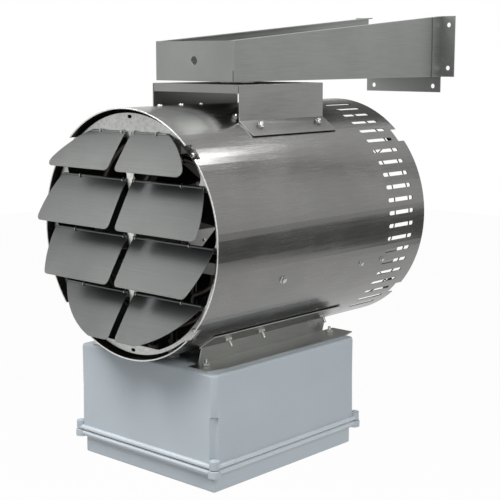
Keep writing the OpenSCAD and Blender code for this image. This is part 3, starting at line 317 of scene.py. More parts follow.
def hexagon(bm, matrix, flats, height, bore=0.0, low_chamfer=True, segments=36):
    """A hexagonal head or nut, its corners turned off at 30 degrees, with a hole where bore is given."""
    face_r, bore_r, lead_r = flats/2*0.95, bore/2, bore/2*1.12
    sixth = pi/3
    outer = [flats/2/cos((2*pi*k/segments + sixth/2) % sixth - sixth/2) for k in range(segments)]
    turned_off = [(r - face_r)*tan(radians(30)) for r in outer]

    def level(radius, z):
        return ring(bm, matrix, [radius]*segments, [z]*segments)

    if low_chamfer:
        rings = [level(face_r, 0), ring(bm, matrix, outer, turned_off)]
    else:
        rings = [ring(bm, matrix, outer, [0]*segments)]
    rings += [ring(bm, matrix, outer, [height - down for down in turned_off]), level(face_r, height)]
    if bore:
        lead_h = lead_r - bore_r
        rings += [level(lead_r, height), level(bore_r, height - lead_h), level(bore_r, lead_h)]
        rings += [level(lead_r, 0), rings[0]]
    joined(bm, rings, closed=not bore)


def threaded(bm, matrix, diameter, low, high, segments=16):
    """A rod with a rolled thread from low to high and a turned point at high."""
    pitch = diameter*thread_pitch_share
    depth = diameter*thread_depth_share
    steps_a_pitch, point_h = 4, depth*1.3
    steps = max(4, round((high - low)/pitch*steps_a_pitch))
    rings = []
    for i in range(steps + 1):
        z = low + (high - low)*i/steps
        waves = [abs(((z/pitch - k/segments) % 1)*2 - 1) for k in range(segments)]
        radii = [diameter/2 - depth*wave + (min(point_h, high - z) - point_h) for wave in waves]
        rings.append(ring(bm, matrix, radii, [z]*segments))
    joined(bm, rings, closed=True)


def fastener(name, bm, *nodes, body="heater"):
    """Settles a zinc plated fastener."""
    settle(name, bm, zinc, body, "fastener_steel", *nodes)


swivel_y = -0.49
pivot_flats, pivot_d = 0.019, 0.012
pivot_head_z, pivot_head_h = -0.054, 0.0078
pivot_shank_z = (-0.0541, -0.067)
pivot_thread_down = (0.0668, 0.0806)
pivot_nut_z, pivot_nut_h = -0.0756, 0.008
zinc = finish("zinc_plate", (0.52, 0.52, 0.5), 1, 0.28, 0.0015, spread=0.14)
swivel = Matrix.Translation((0, swivel_y, 0))
bm = bmesh.new()
hexagon(bm, raised(swivel, pivot_head_z), pivot_flats, pivot_head_h)
rod(bm, swivel, pivot_d/2, *pivot_shank_z, 32)
threaded(bm, swivel @ Matrix.Rotation(pi, 4, "X"), pivot_d, *pivot_thread_down, 24)
fastener("swivel_bolt", bm, "pivot_bolt", body="wall_arm")
bm = bmesh.new()
hexagon(bm, raised(swivel, pivot_nut_z), pivot_flats, pivot_nut_h, pivot_d*bore_ease_share)
fastener("swivel_nut", bm, "pivot_nut", body="wall_arm")
fold("pivot_washers", zinc, "fastener_steel", 0.0003)

# Saddle
# A brushed stainless sheet bridge, folded down at both sides with its feet lying along the drum.
# Four bolts come up from inside the drum, and their nuts and thread ends show on the feet.
axis_z = -0.3
drum_r = 0.203
sheet_steel = finish("sheet_steel", (0.25, 0.25, 0.245), 1, 0.38, (0.0012, 0.05, 0.0012))
fold("saddle", sheet_steel, "brushed_steel")


def on_drum(angle, y):
    """A frame on the drum's skin, at an angle above its middle, whose z axis points outwards."""
    a = radians(angle)
    way = Vector((cos(a), 0, sin(a)))
    return standing(way*drum_r + Vector((0, y, axis_z)), way)


bolt_d, bolt_flats, nut_h = 0.006, 0.011, 0.005
sheet_t = 0.0015


def bolt_and_nut(bolts, nuts, seat, under, over, end, nut_gap):
    """A bolt from below through sheets that reach as far as under and over from seat, and its nut."""
    hexagon(bolts, raised(seat, -under - nut_h), bolt_flats, nut_h)
    rod(bolts, seat, bolt_d/2, -under, over, 20)
    threaded(bolts, seat, bolt_d, over*0.9, over + nut_h + end)
    hexagon(nuts, raised(seat, over + nut_gap), bolt_flats, nut_h, bolt_d*bore_ease_share)


saddle_t = 0.002
saddle_foot_angle = 55.6
saddle_bolt_reach = 0.0735
saddle_nut_gap = 0.0002
bolts, nuts = bmesh.new(), bmesh.new()
for y in (swivel_y - saddle_bolt_reach, swivel_y + saddle_bolt_reach):
    for angle in (saddle_foot_angle, 180 - saddle_foot_angle):
        bolt_and_nut(bolts, nuts, on_drum(angle, y), sheet_t, saddle_t, bolt_d, saddle_nut_gap)
fastener("saddle_bolts_worked", bolts, "saddle_bolts")
fastener("saddle_nuts_worked", nuts, "saddle_nuts")

# Drum
# One brushed stainless sheet rolled into a tube, with air slots punched round its back end. Its inside faces
# are painted dark, as painted shade.
# Tongues cut at both rims are bent in to carry the louver frame and the fan guard.
# The sheared front edge is dressed round, and painted far lighter than the drum as a painted highlight.
drum_steel = finish("drum_steel", (0.21, 0.208, 0.203), 1, 0.24, (0.0009, 0.04, 0.0009), relief=0.00004)
# Painted shade: a near black copy of the drum's steel for its inside faces.
drum_inside_painted_shade = finish("drum_inside_painted_shade", (0.05, 0.047, 0.044), 1, 0.5, (0.002, 0.04, 0.002), spread=0.2)
faces_in, faces_front = -0.7, -0.9
drum = fold("shell", drum_steel, "brushed_steel", 0.0003)
drum.data.materials.append(drum_inside_painted_shade)
front_edges = []
drum_front_y = min(vertex.co.y for vertex in drum.data.vertices)
for face in drum.data.polygons:
    outward = Vector((face.center.x, 0, face.center.z - axis_z)).normalized()
    if face.normal.dot(outward) < faces_in:
        face.material_index = 1
    if face.normal.y < faces_front and face.center.y < drum_front_y + 0.0001:
        front_edges.append((outward, [drum.data.vertices[k].co.copy() for k in face.vertices]))

# Painted highlight: the front edge's bead is a much lighter steel than the drum.
edge_painted_highlight = finish("edge_painted_highlight", (0.66, 0.66, 0.64), 1, 0.25, 0.004, spread=0.15)
bead_out, bead_half, bead_sunk = 0.0014, 0.0011, 0.0005
bead_step = radians(2)
bead = [(-bead_half, bead_sunk), (-bead_half, -bead_out*0.6), (0, -bead_out), (bead_half, -bead_out*0.6),
        (bead_half, bead_sunk)]
bm = bmesh.new()
for outward, corners in front_edges:
    side = Vector((-outward.z, 0, outward.x))
    arms = [Vector((corner.x, 0, corner.z - axis_z)) for corner in corners]
    angles = [atan2(arm.dot(side), arm.dot(outward)) for arm in arms]
    sheet_r = max(arm.length for arm in arms) - bead_half
    start, end = min(angles), max(angles)
    steps = max(2, int((end - start)/bead_step))
    rings = []
    for k in range(steps + 1):
        angle = start + (end - start)*k/steps
        ray = outward*cos(angle) + side*sin(angle)
        rings.append([bm.verts.new(ray*(sheet_r + out) + Vector((0, drum_front_y + back, axis_z)))
                      for out, back in bead])
    joined(bm, rings, closed=True)
settle("drum_front_edge", bm, edge_painted_highlight, "heater", "brushed_steel")


def pan_head(bm, matrix, head_r, head_h, shank_r, shank_down):
    """A domed screw head with a cross recess, and its plain shank below."""
    arm, half = head_r*0.5, head_r*0.13
    deep_share, taper_share = 0.35, 0.6
    profile = [(0, -shank_down), (shank_r, -shank_down), (shank_r, 0), (head_r*0.97, 0),
               (head_r, head_h*0.2), (head_r*0.95, head_h*0.55), (head_r*0.8, head_h*0.85),
               (head_r*0.6, head_h)]
    rim = turned(bm, profile, matrix)[-1]
    cross = [(arm, -half), (arm, half), (half, half)]
    for quarter in range(3):
        cross += [(-y, x) for x, y in cross[-3:]]
    top = [bm.verts.new(matrix @ Vector((x, y, head_h))) for x, y in cross]
    bottom = [bm.verts.new(matrix @ Vector((x*taper_share, y*taper_share, head_h*deep_share)))
              for x, y in cross]
    edges = []
    for loop in (rim, top):
        for a, b in zip(loop, loop[1:] + loop[:1]):
            edges.append(bm.edges.get((a, b)) or bm.edges.new((a, b)))
    bmesh.ops.triangle_fill(bm, use_beauty=True, edges=edges)
    for face in [face for face in bm.faces if all(vert in top for vert in face.verts)]:
        bm.faces.remove(face)
    joined(bm, [top, bottom])
    bm.faces.new(bottom)


def washer_head(bm, matrix, flats, head_h, flange_r, shank_r, shank_down):
    """A hexagon screw head on its own flange, and its plain shank below."""
    turned(bm, [(0, -shank_down), (shank_r, -shank_down), (shank_r, 0), (flange_r, 0),
                (flange_r, head_h*0.12), (flats*0.55, head_h*0.28), (0, head_h*0.28)], matrix)
    hexagon(bm, raised(matrix, head_h*0.25), flats, head_h*0.75, 0, False)


screw_r, screw_len = 0.0025, 0.006
element_y = (-0.675, -0.627, -0.579)
side_screw_angle = 20
crossbar_y = -0.591
platform_screw_y = (-0.385, -0.326)
hanger_head = (0.0048, 0.0027)
crossbar_head = (0.009, 0.0045, 0.0066)
crossbar_screw_r = 0.003
platform_head = (0.007, 0.0032, 0.0048)
bm = bmesh.new()
for y in element_y:
    pan_head(bm, on_drum(90, y), *hanger_head, screw_r, screw_len)
for side in (-side_screw_angle, 180 + side_screw_angle):
    washer_head(bm, on_drum(side, crossbar_y), *crossbar_head, crossbar_screw_r, screw_len)
    for y in platform_screw_y:
        washer_head(bm, on_drum(side, y), *platform_head, screw_r, screw_len)
fastener("drum_screws", bm, "shell_screws")

# Louver frame
# A plain stainless plate with eight openings. Small ears pressed out of it hold the louvers' pins.
# Tabs of a paler steel than the plate lie on its middle bar between the rows of louvers, as painted light
# where the bar is lit.
# Pan head screws fix the plate, and the guard at the back, to the drum's tongues.
frame_steel = finish("frame_steel", (0.46, 0.465, 0.45), 1, 0.3, 0.005, spread=0.18)
louver_plate = fold("louver_frame", frame_steel, "louver_steel", 0.00025)
tongue_angle, tongue_half, tongue_ease = 44, 5, 4
louver_hinge_z = (0.1635, 0.088, -0.003, -0.094)
plate_edge_r, plate_behind = 0.1945, -0.7419
plate_hole_x, plate_hole_r = 0.004, (0.19, 0.199)
plate_hole_in, plate_hole_wider = 0.006, 1.6
bar_top, bar_drop, bar_slack, opening_corner = 0.0043, 0.0055, 0.0006, 0.01
for vertex in louver_plate.data.vertices:
    x, y, z = vertex.co
    if y < plate_behind:
        continue
    reach = hypot(x, z - axis_z)
    if abs(x) < plate_hole_x and plate_hole_r[0] < reach < plate_hole_r[1]:
        side = copysign(1, z - axis_z)
        vertex.co = (x*plate_hole_wider, y, z - side*plate_hole_in)
        continue
    off_tongue = abs(abs(degrees(atan2(z - axis_z, abs(x)))) - tongue_angle)
    if reach > plate_hole_r[1] and off_tongue > tongue_half:
        ease = min(1, (off_tongue - tongue_half)/tongue_ease)
        share = (reach + (plate_edge_r - reach)*ease)/reach
        vertex.co = (x*share, y, axis_z + (z - axis_z)*share)
    for hinge_z in louver_hinge_z[1:]:
        above = z - axis_z - hinge_z - bar_top
        if reach < plate_hole_r[0] and -bar_slack < above < opening_corner:
            vertex.co.z = z - bar_drop*(1 - max(0, above)/opening_corner)

# Painted light: a paler copy of the plate's steel, for where the middle bar catches the light between the
# rows.
mullion_painted_light = finish("mullion_painted_light", (0.78, 0.78, 0.75), 1, 0.42, 0.004, spread=0.25)
tab_half = [(0.0095, 0.013), (0.0065, 0.0035), (0.006, -0.004), (0.0028, -0.017)]
tab_y, tab_t = -0.7417, 0.0009
bm = bmesh.new()
for hinge_z in louver_hinge_z[1:]:
    outline = tab_half + [(-x, z) for x, z in tab_half[::-1]]
    joined(bm, [[bm.verts.new((x, y, axis_z + hinge_z + z)) for x, z in outline]
                for y in (tab_y, tab_y - tab_t)], closed=True)
settle("mullion_painted_light_tabs", bm, mullion_painted_light, "heater", "louver_steel")

tongue_screw_at = 0.19475
tongue_screw = (0.0042, 0.0026, screw_r*0.8, 0.0075)
frame_face_y, guard_face_y = -0.74165, -0.22945
bm = bmesh.new()
for angle in (tongue_angle, 180 - tongue_angle, 180 + tongue_angle, -tongue_angle):
    a = radians(angle)
    x, z = tongue_screw_at*cos(a), axis_z + tongue_screw_at*sin(a)
    pan_head(bm, standing((x, frame_face_y, z), (0, -1, 0)), *tongue_screw)
    pan_head(bm, standing((x, guard_face_y, z), (0, 1, 0)), *tongue_screw)
fastener("tongue_screws_worked", bm, "tongue_screws")

# Louvers
# Eight sheet stainless blades, brushed along their length and very slightly crowned.
# Each has a hem rolled at its top round a pin, with two slots for the frame's ears.
# Their colour is painted darker next to their hinges, as painted shade and dark reflection under the row
# above; the top row the least.
hinge_y = -0.74385
louver_rest = (35, 29, 32, 33)
louver_depth = (0.0705, 0.086, 0.086, 0.085)
louver_hinge_shade = (0.3, 1, 1, 1)
louver_in_x, louver_out_r = 0.0075, 0.187
louver_corner, corner_steps = 0.009, 6
louver_rows, louver_columns = 10, 24
louver_t, louver_crown, louver_crown_ease = 0.0012, 0.0012, 0.4
louver_edge, louver_edge_angle = 0.0002, radians(50)
hem_d, hem_edge = 0.0044, 0.0002
pin_d, pin_past_slot = 0.0025, 0.003
ear_x, ear_out_share, ear_slot = 0.014, 0.72, 0.0021

louver_steel = finish("louver_steel", (0.205, 0.21, 0.205), 1, 0.34, (0.09, 0.0006, 0.0006), spread=0.12)
tree = louver_steel.node_tree
surface = tree.nodes["Principled BSDF"]
along_blade = add_node(tree, "VectorTransform", {0: (1, 0, 0)})
along_blade.vector_type = "VECTOR"
along_blade.convert_from = "OBJECT"
along_blade.convert_to = "WORLD"
feed(surface, {"Anisotropic": 0.75, "Anisotropic Rotation": 0.25, "Tangent": along_blade.outputs[0]})
# Painted shade: a ramp darkens the blade's base colour towards its hinge.
shade_attribute = add_node(tree, "Attribute")
shade_attribute.attribute_name = "painted_hinge_shade"
hinge_shade_ramp = add_node(tree, "ValToRGB", {"Fac": shade_attribute.outputs["Fac"]})
hinge_shade_ramp.color_ramp.elements[0].color = (0.56, 0.57, 0.59, 1)
hinge_shade_ramp.color_ramp.elements[1].color = (1, 1, 1, 1)
hinge_shade_ramp.color_ramp.elements.new(0.45).color = (0.82, 0.83, 0.84, 1)
shaded_base = add_node(tree, "Mix")
shaded_base.data_type = "RGBA"
shaded_base.blend_type = "MULTIPLY"
plain = surface.inputs["Base Color"].links[0].from_socket
feed(shaded_base, {"Factor": 1, "A": plain, "B": hinge_shade_ramp.outputs["Color"]})
feed(surface, {"Base Color": shaded_base.outputs["Result"]})


def blade_ends(z, bottom):
    """Inner and outer end of a blade at height z, with its two lower corners rounded."""
    low = bottom + louver_corner
    inner = louver_in_x + louver_corner - sqrt(max(0, louver_corner**2 - max(0, low - z)**2))
    middle_r = louver_out_r - louver_corner
    out_x = sqrt(middle_r**2 - low**2)
    if z > low*louver_out_r/middle_r:
        return inner, sqrt(louver_out_r**2 - z**2)
    return inner, out_x + sqrt(max(0, louver_corner**2 - (z - low)**2))


def sheet(bm, rows, thickness):
    """A curved sheet through rows of points, with its edge closed all round."""
    skins = []
    for side in (-0.5, 0.5):
        skin = []
        for i, row in enumerate(rows):
            line = []
            for k, point in enumerate(row):
                up = rows[max(i - 1, 0)][k] - rows[min(i + 1, len(rows) - 1)][k]
                along = row[min(k + 1, len(row) - 1)] - row[max(k - 1, 0)]
                line.append(bm.verts.new(point + along.cross(up).normalized()*thickness*side))
            skin.append(line)
        skins.append(skin)
        for a, b in zip(skin, skin[1:]):
            for k in range(len(a) - 1):
                bm.faces.new((a[k], a[k + 1], b[k + 1], b[k]))
    joined(bm, [skin[0] + [line[-1] for line in skin[1:-1]] + skin[-1][::-1]
                + [line[0] for line in skin[-2:0:-1]] for skin in skins])


for row, (hinge_z, rest, depth) in enumerate(zip(louver_hinge_z, louver_rest, louver_depth)):
    bottom = hinge_z - depth
    heights = [hinge_z - (depth - louver_corner)*k/louver_rows for k in range(louver_rows)]
    heights += [bottom + louver_corner*(1 - sin(pi/2*k/corner_steps))
                for k in range(corner_steps + 1)]
    end_x = sqrt(louver_out_r**2 - hinge_z**2)
    slots = (ear_x, ear_out_share*end_x)
    stops = [louver_in_x, slots[0] - ear_slot/2, slots[0] + ear_slot/2, slots[1] - ear_slot/2,
             slots[1] + ear_slot/2, end_x - hem_d/2]
    for side, name in ((1, "right"), (-1, "left")):
        turn = (Matrix.Translation((0, hinge_y, axis_z + hinge_z)) @ Matrix.Scale(side, 4, (1, 0, 0))
                @ Matrix.Rotation(radians(-rest), 4, "X"))
        along_x = turn @ Matrix.Rotation(pi/2, 4, "Y")
        bm = bmesh.new()
        rows = []
        for z in heights:
            inner, outer = blade_ends(z, bottom)
            crown = louver_crown*(1 - (2*(hinge_z - z)/depth - 1)**2)
            shares = [k/louver_columns for k in range(louver_columns + 1)]
            rows.append([turn @ Vector((inner + (outer - inner)*share,
                                        -crown*(1 - louver_crown_ease*(2*share - 1)**2), z - hinge_z))
                         for share in shares])
        sheet(bm, rows, louver_t)
        for low, high in zip(stops[::2], stops[1::2]):
            turned(bm, [(0, low), (hem_d*0.42, low), (hem_d/2, low + hem_edge), (hem_d/2, high - hem_edge),
                        (hem_d*0.42, high), (0, high)], along_x, 20)
        rod(bm, along_x, pin_d/2, slots[0] - pin_past_slot, slots[1] + pin_past_slot, 12)
        node = "louver_%d_%s" % (row + 1, name)
        piece = settle(node + "_worked", bm, louver_steel, body_of[node], "louver_steel", node)
        # Painted shade: each point's darkening, deepest at the hinge and none at the blade's bottom edge.
        hinge_shade_mark = piece.data.attributes.new("painted_hinge_shade", "FLOAT", "POINT")
        to_blade = turn.inverted()
        for vertex in piece.data.vertices:
            down = -(to_blade @ vertex.co).z/depth
            hinge_shade_mark.data[vertex.index].value = 1 - louver_hinge_shade[row]*(1 - min(1, max(0, down)))
        break_edges(piece, louver_edge, 1, louver_edge_angle)

# Heating elements
# Three tubular elements bent into rings, whose legs go down through porcelain bushings into the control box.
# Their alloy sheath is brown from heat. Pressed steel hangers and a cross bar hold the rings in the drum.
ring_r = (0.16, 0.115, 0.07)
ring_steps, bend_steps = 48, 8
tube_r, terminal_r, terminal_len, terminal_sunk = 0.0055, 0.002, 0.005, 0.001
leg_x, leg_foot_z, leg_bend, leg_top_gap = 0.024, -0.536, 0.012, 0.004


def swept(bm, points, radius, across, segments=16):
    """A round bar through points that lie in one plane; across is that plane's normal."""
    rings = []
    for i, point in enumerate(points):
        ahead = (points[min(i + 1, len(points) - 1)] - points[max(i - 1, 0)]).normalized()
        beside = across.cross(ahead)
        turn = [2*pi*k/segments for k in range(segments)]
        rings.append([bm.verts.new(point + radius*(cos(a)*across + sin(a)*beside)) for a in turn])
    joined(bm, rings, closed=True)


sheath = finish("heated_sheath", (0.085, 0.072, 0.062), 1, 0.42, (0.012, 0.012, 0.02), spread=0.4)
terminal = [(0, -terminal_sunk), (tube_r*0.8, -terminal_sunk), (tube_r*0.7, 0.0006), (terminal_r, 0.0007),
            (terminal_r, terminal_len*0.9), (terminal_r*0.7, terminal_len), (0, terminal_len)]
for name, r, y in zip(("element_front", "element_middle", "element_back"), ring_r, element_y):
    middle = Vector((leg_x + leg_bend, 0, -sqrt((r + leg_bend)**2 - (leg_x + leg_bend)**2)))
    leg_z = (leg_foot_z + terminal_len - axis_z, middle.z - leg_top_gap)
    half = [Vector((leg_x, 0, z)) for z in leg_z]
    bend_end = atan2(-middle.z, -middle.x)
    for k in range(bend_steps + 1):
        a = pi + (bend_end - pi)*k/bend_steps
        half.append(middle + leg_bend*Vector((cos(a), 0, sin(a))))
    start = atan2(middle.z, middle.x)
    for k in range(1, ring_steps + 1):
        a = start + (pi/2 - start)*k/ring_steps
        half.append(r*Vector((cos(a), 0, sin(a))))
    path = half + [Vector((-point.x, 0, point.z)) for point in half[-2::-1]]
    bm = bmesh.new()
    swept(bm, [point + Vector((0, y, axis_z)) for point in path], tube_r, Vector((0, 1, 0)))
    for x in (-leg_x, leg_x):
        turned(bm, terminal, standing((x, y, leg_foot_z + terminal_len), (0, 0, -1)), 16)
    settle(name + "_bent", bm, sheath, "heater", "element_sheath", name)

inner_steel = finish("inner_steel", (0.3, 0.3, 0.29), 1, 0.4, (0.0012, 0.03, 0.0012))
fold("element_hangers", inner_steel, "inner_steel", 0.0002)
fold("element_crossbar", inner_steel, "inner_steel", 0.0002)
porcelain = finish("porcelain", (0.7, 0.66, 0.56), 0, 0.22, 0.01, spread=0.06, coat=0.5)
fold("element_bushings", porcelain, "switchgear_plastic", 0.0007)

# Limit thermostat
# A round bimetal switch under the drum's top, held by a hexagon nut on its brass stud.
# Its cup is pressed steel on a moulded phenolic body with two push-on tags.
limit_angle = 64.4
limit_nut_gap = 0.00015
limit_stud_z = (0.0001, 0.008)
tag_x, tag_end_z = 0.004, -0.0225
body_profile = [(0, -0.0201), (0.0082, -0.0201), (0.009, -0.0194), (0.009, -0.0152), (0.0122, -0.0148),
                (0.013, -0.014), (0.013, -0.0086), (0.0124, -0.008), (0, -0.008)]
tag_profile = [(0, 0), (0.0016, 0), (0.0018, 0.0004), (0.0018, 0.003), (0, 0.003)]
cup_profile = [(0, -0.0084), (0.0118, -0.0084), (0.0118, -0.0034), (0.011, -0.0024), (0.005, -0.0021),
               (0.003, -0.0021), (0.003, 0.0002), (0, 0.0002)]
phenolic = finish("phenolic", (0.03, 0.028, 0.027), 0, 0.38, 0.002, spread=0.25)
place = on_drum(limit_angle, crossbar_y)
bm = bmesh.new()
turned(bm, body_profile, place, 40)
for x in (-tag_x, tag_x):
    turned(bm, tag_profile, place @ Matrix.Translation((x, 0, tag_end_z)), 12)
settle("limit_thermostat_body", bm, phenolic, "heater", "switchgear_plastic", "limit_thermostat")
bm = bmesh.new()
turned(bm, cup_profile, place, 40)
threaded(bm, place, bolt_d, *limit_stud_z)
hexagon(bm, raised(place, limit_nut_gap), bolt_flats, nut_h, bolt_d*bore_ease_share)
fastener("limit_thermostat_stud", bm)

# Fan
# Five pressed aluminium blades, each riveted by its root to an arm of the turned hub.
# A socket set screw in the hub's boss locks it on the motor shaft.
fan_y, fan_r = -0.51, 0.19
blade_count = 5
blade_pitch = radians(24)
blade_chord, blade_t, blade_camber = 0.092, 0.0016, 0.005
blade_root, blade_widest, blade_end_gap, blade_tip_gap = 0.024, 0.152, 0.0004, 0.0003
blade_root_share, blade_tip_share = 0.5, 0.76
blade_rows, blade_columns = 18, 12
arm_x, arm_r = (-0.011, -0.004, 0.004, 0.011), (0.016, 0.03, 0.045, 0.055)
arm_t, arm_lift, arm_slope = 0.003, 0.0012, 0.0014
rivets, rivet_y = ((-0.006, 0.034), (0.006, 0.034), (0, 0.047)), 0.0004
rivet_profile = [(0.003, -0.0028), (0.003, 0.0012), (0.0026, 0.0022), (0.0015, 0.003), (0, 0.0033)]
hub_r, hub_half, hub_edge, hub_lead = 0.022, 0.015, 0.001, 0.0005
shaft_r, shaft_end_y, shaft_edge = 0.00635, -0.2855, 0.001
# Painted shade: the aluminium is near black, for the fan lying in shade deep in the drum.
fan_aluminium = finish("fan_aluminium", (0.06, 0.06, 0.062), 1, 0.42, 0.0015, spread=0.08)
fan_middle = Vector((0, fan_y, axis_z))
bm = bmesh.new()
for blade in range(blade_count):
    place = (Matrix.Translation(fan_middle) @ Matrix.Rotation(2*pi*blade/blade_count, 4, "Y")
             @ Matrix.Rotation(blade_pitch, 4, "Z"))
    rows = []
    for i in range(blade_rows + 1):
        r = blade_root + (fan_r - blade_end_gap - blade_root)*sin(pi/2*i/blade_rows)
        if r < blade_widest:
            wide = blade_root_share + (1 - blade_root_share)*(r - blade_root)/(blade_widest - blade_root)
        else:
            wide = sqrt(1 - blade_tip_share*((r - blade_widest)/(fan_r - blade_widest))**2)
        row = []
        for k in range(blade_columns + 1):
            x = blade_chord/2*wide*(2*k/blade_columns - 1)
            high = min(r, sqrt((fan_r - blade_tip_gap)**2 - (x*cos(blade_pitch))**2))
            row.append(place @ Vector((x, -blade_camber*(1 - (x/blade_chord*2)**2)*(r/fan_r), high)))
        rows.append(row)
    sheet(bm, rows, blade_t)
    arm = [[place @ Vector((x, arm_lift - arm_slope*r/blade_root, r)) for x in arm_x] for r in arm_r]
    sheet(bm, arm, arm_t)
    for x, r in rivets:
        rivet = place @ Matrix.Translation((x, rivet_y, r)) @ Matrix.Rotation(pi/2, 4, "X")
        turned(bm, rivet_profile, rivet, 16)
hub_profile = [(shaft_r, -hub_half), (hub_r - hub_edge, -hub_half), (hub_r, -hub_half + hub_edge),
               (hub_r, hub_half - hub_edge), (hub_r - hub_edge, hub_half), (shaft_r + hub_lead, hub_half),
               (shaft_r, hub_half - hub_lead), (shaft_r, -hub_half)]
turned(bm, hub_profile, standing(fan_middle, (0, 1, 0)), 48)
settle("fan_pressed", bm, fan_aluminium, "fan_rotor", "fan_aluminium", "fan")

black_oxide = finish("black_oxide", (0.05, 0.05, 0.055), 1, 0.4, 0.001, spread=0.2)
set_screw_y = fan_y + hub_half - 0.004
set_screw_d, set_screw_z = 0.004, (0.0065, 0.0217)
set_screw_way = (sin(pi/blade_count), 0, cos(pi/blade_count))
bm = bmesh.new()
threaded(bm, standing((0, set_screw_y, axis_z), set_screw_way), set_screw_d, *set_screw_z, 12)
settle("fan_setscrew_worked", bm, black_oxide, "fan_rotor", "fastener_steel", "fan_setscrew")

# Fan guard
# Six rings of bright drawn wire welded over four spokes, each ending in an eye under its screw.
# It closes the drum's back end in front of the wall.
guard_wire = finish("guard_wire", (0.4, 0.4, 0.39), 1, 0.3, 0.002)


def dress(material, *nodes):
    """Gives carried-over CAD nodes their finish."""
    for node in nodes:
        for slot in frame["nodes"][node].material_slots:
            slot.material = material


dress(guard_wire, "fan_guard")

# Motor
# A totally enclosed motor: a painted steel can between two cast end bells held by through bolts.
# Rubber rings round its bell hubs rest in a pressed cradle on the platform across the drum.
motor_middle = Vector((0, -0.3555, axis_z))
can_r, can_half, can_t, can_edge = 0.07, 0.052, 0.003, 0.0006
groove_r, groove_at = can_r - 0.0008, (0.04, 0.041, 0.043, 0.044)
bell_face, bell_end, bell_hub_r = 0.061, 0.07, 0.024
bell_bore_r, bell_bearing_r = 0.0067, 0.0175
rib_count, rib_r, rib_half, rib_t, rib_lift = 12, (0.039, 0.05, 0.0635), 0.0016, 0.0028, 0.0012
ties, tie_r, tie_sunk = 4, 0.0575, 0.0005
collar_profile = [(0.0062, 0), (0.0062, 0.0022), (0.0058, 0.0026), (0, 0.0026)]
tie_flats, tie_head_h, tie_head_z = 0.007, 0.003, 0.0025
motor_paint = finish("motor_paint", (0.028, 0.03, 0.034), 0, 0.36, 0.0012, spread=0.2,
                     relief=0.0001, coat=0.15)
cast_aluminium = finish("cast_aluminium", (0.34, 0.345, 0.35), 1, 0.5, 0.0012, spread=0.12,
                        relief=0.0002)
outside = [(can_r, groove_at[0]), (groove_r, groove_at[1]), (groove_r, groove_at[2]), (can_r, groove_at[3]),
           (can_r, can_half - can_edge), (can_r - can_edge, can_half)]
profile = [(can_r - can_t, -can_half)] + [(r, -y) for r, y in outside[::-1]] + outside
profile += [(can_r - can_t, can_half), (can_r - can_t, -can_half)]
bm = bmesh.new()
turned(bm, profile, standing(motor_middle, (0, 1, 0)), 96)
settle("motor_can_rolled", bm, motor_paint, "heater", "motor_paint", "motor_can")
bell_profile = [(bell_bearing_r, can_half), (can_r - 0.0004, can_half), (can_r, can_half + 0.0006),
                (can_r, 0.0575), (can_r - 0.0035, bell_face), (bell_hub_r + 0.002, bell_face),
                (bell_hub_r, bell_face + 0.0015), (bell_hub_r, bell_end - 0.001),
                (bell_hub_r - 0.001, bell_end), (bell_bore_r, bell_end), (bell_bore_r, 0.064),
                (bell_bearing_r, 0.063), (bell_bearing_r, can_half)]
bm = bmesh.new()
for way in (-1, 1):
    bell = standing(motor_middle, (0, way, 0))
    turned(bm, bell_profile, bell, 72)
    for k in range(rib_count):
        spoke = bell @ Matrix.Rotation(2*pi*(k + 0.5)/rib_count, 4, "Z")
        sheet(bm, [[spoke @ Vector((x, y, bell_face + rib_lift))
                    for y in (-rib_half, 0, rib_half)] for x in rib_r], rib_t)
    for k in range(ties):
        bolt = (bell @ Matrix.Rotation(2*pi*(k + 0.5)/ties, 4, "Z")
                @ Matrix.Translation((tie_r, 0, bell_face - tie_sunk)))
        turned(bm, collar_profile, bolt)
        hexagon(bm, raised(bolt, tie_head_z), tie_flats, tie_head_h, 0, False)
settle("motor_end_bells_cast", bm, cast_aluminium, "heater", "core_steel", "motor_end_bells")
bm = bmesh.new()
shaft_start_y = fan_y - hub_half
turned(bm, [(0, shaft_start_y), (shaft_r - shaft_edge, shaft_start_y), (shaft_r, shaft_start_y + shaft_edge),
            (shaft_r, shaft_end_y - shaft_edge), (shaft_r - shaft_edge, shaft_end_y), (0, shaft_end_y)],
       standing((0, 0, axis_z), (0, 1, 0)), 32)
bright_steel = finish("bright_steel", (0.46, 0.46, 0.45), 1, 0.24, (0.03, 0.0004, 0.03))
settle("motor_shaft_ground", bm, bright_steel, "fan_rotor", "fastener_steel", "motor_shaft")
core_steel = finish("core_steel", (0.19, 0.18, 0.17), 1, 0.5, (0.05, 0.0005, 0.05), spread=0.3)
black_rubber = finish("black_rubber", (0.022, 0.022, 0.022), 0, 0.62, 0.002, spread=0.2)
dress(bright_steel, "motor_bearings")
dress(core_steel, "motor_stator", "motor_rotor")
fold("motor_rubbers", black_rubber, "black_rubber", 0.001)
fold("motor_cradle", inner_steel, "inner_steel", 0.0003)
fold("motor_platform", inner_steel, "inner_steel", 0.0003)

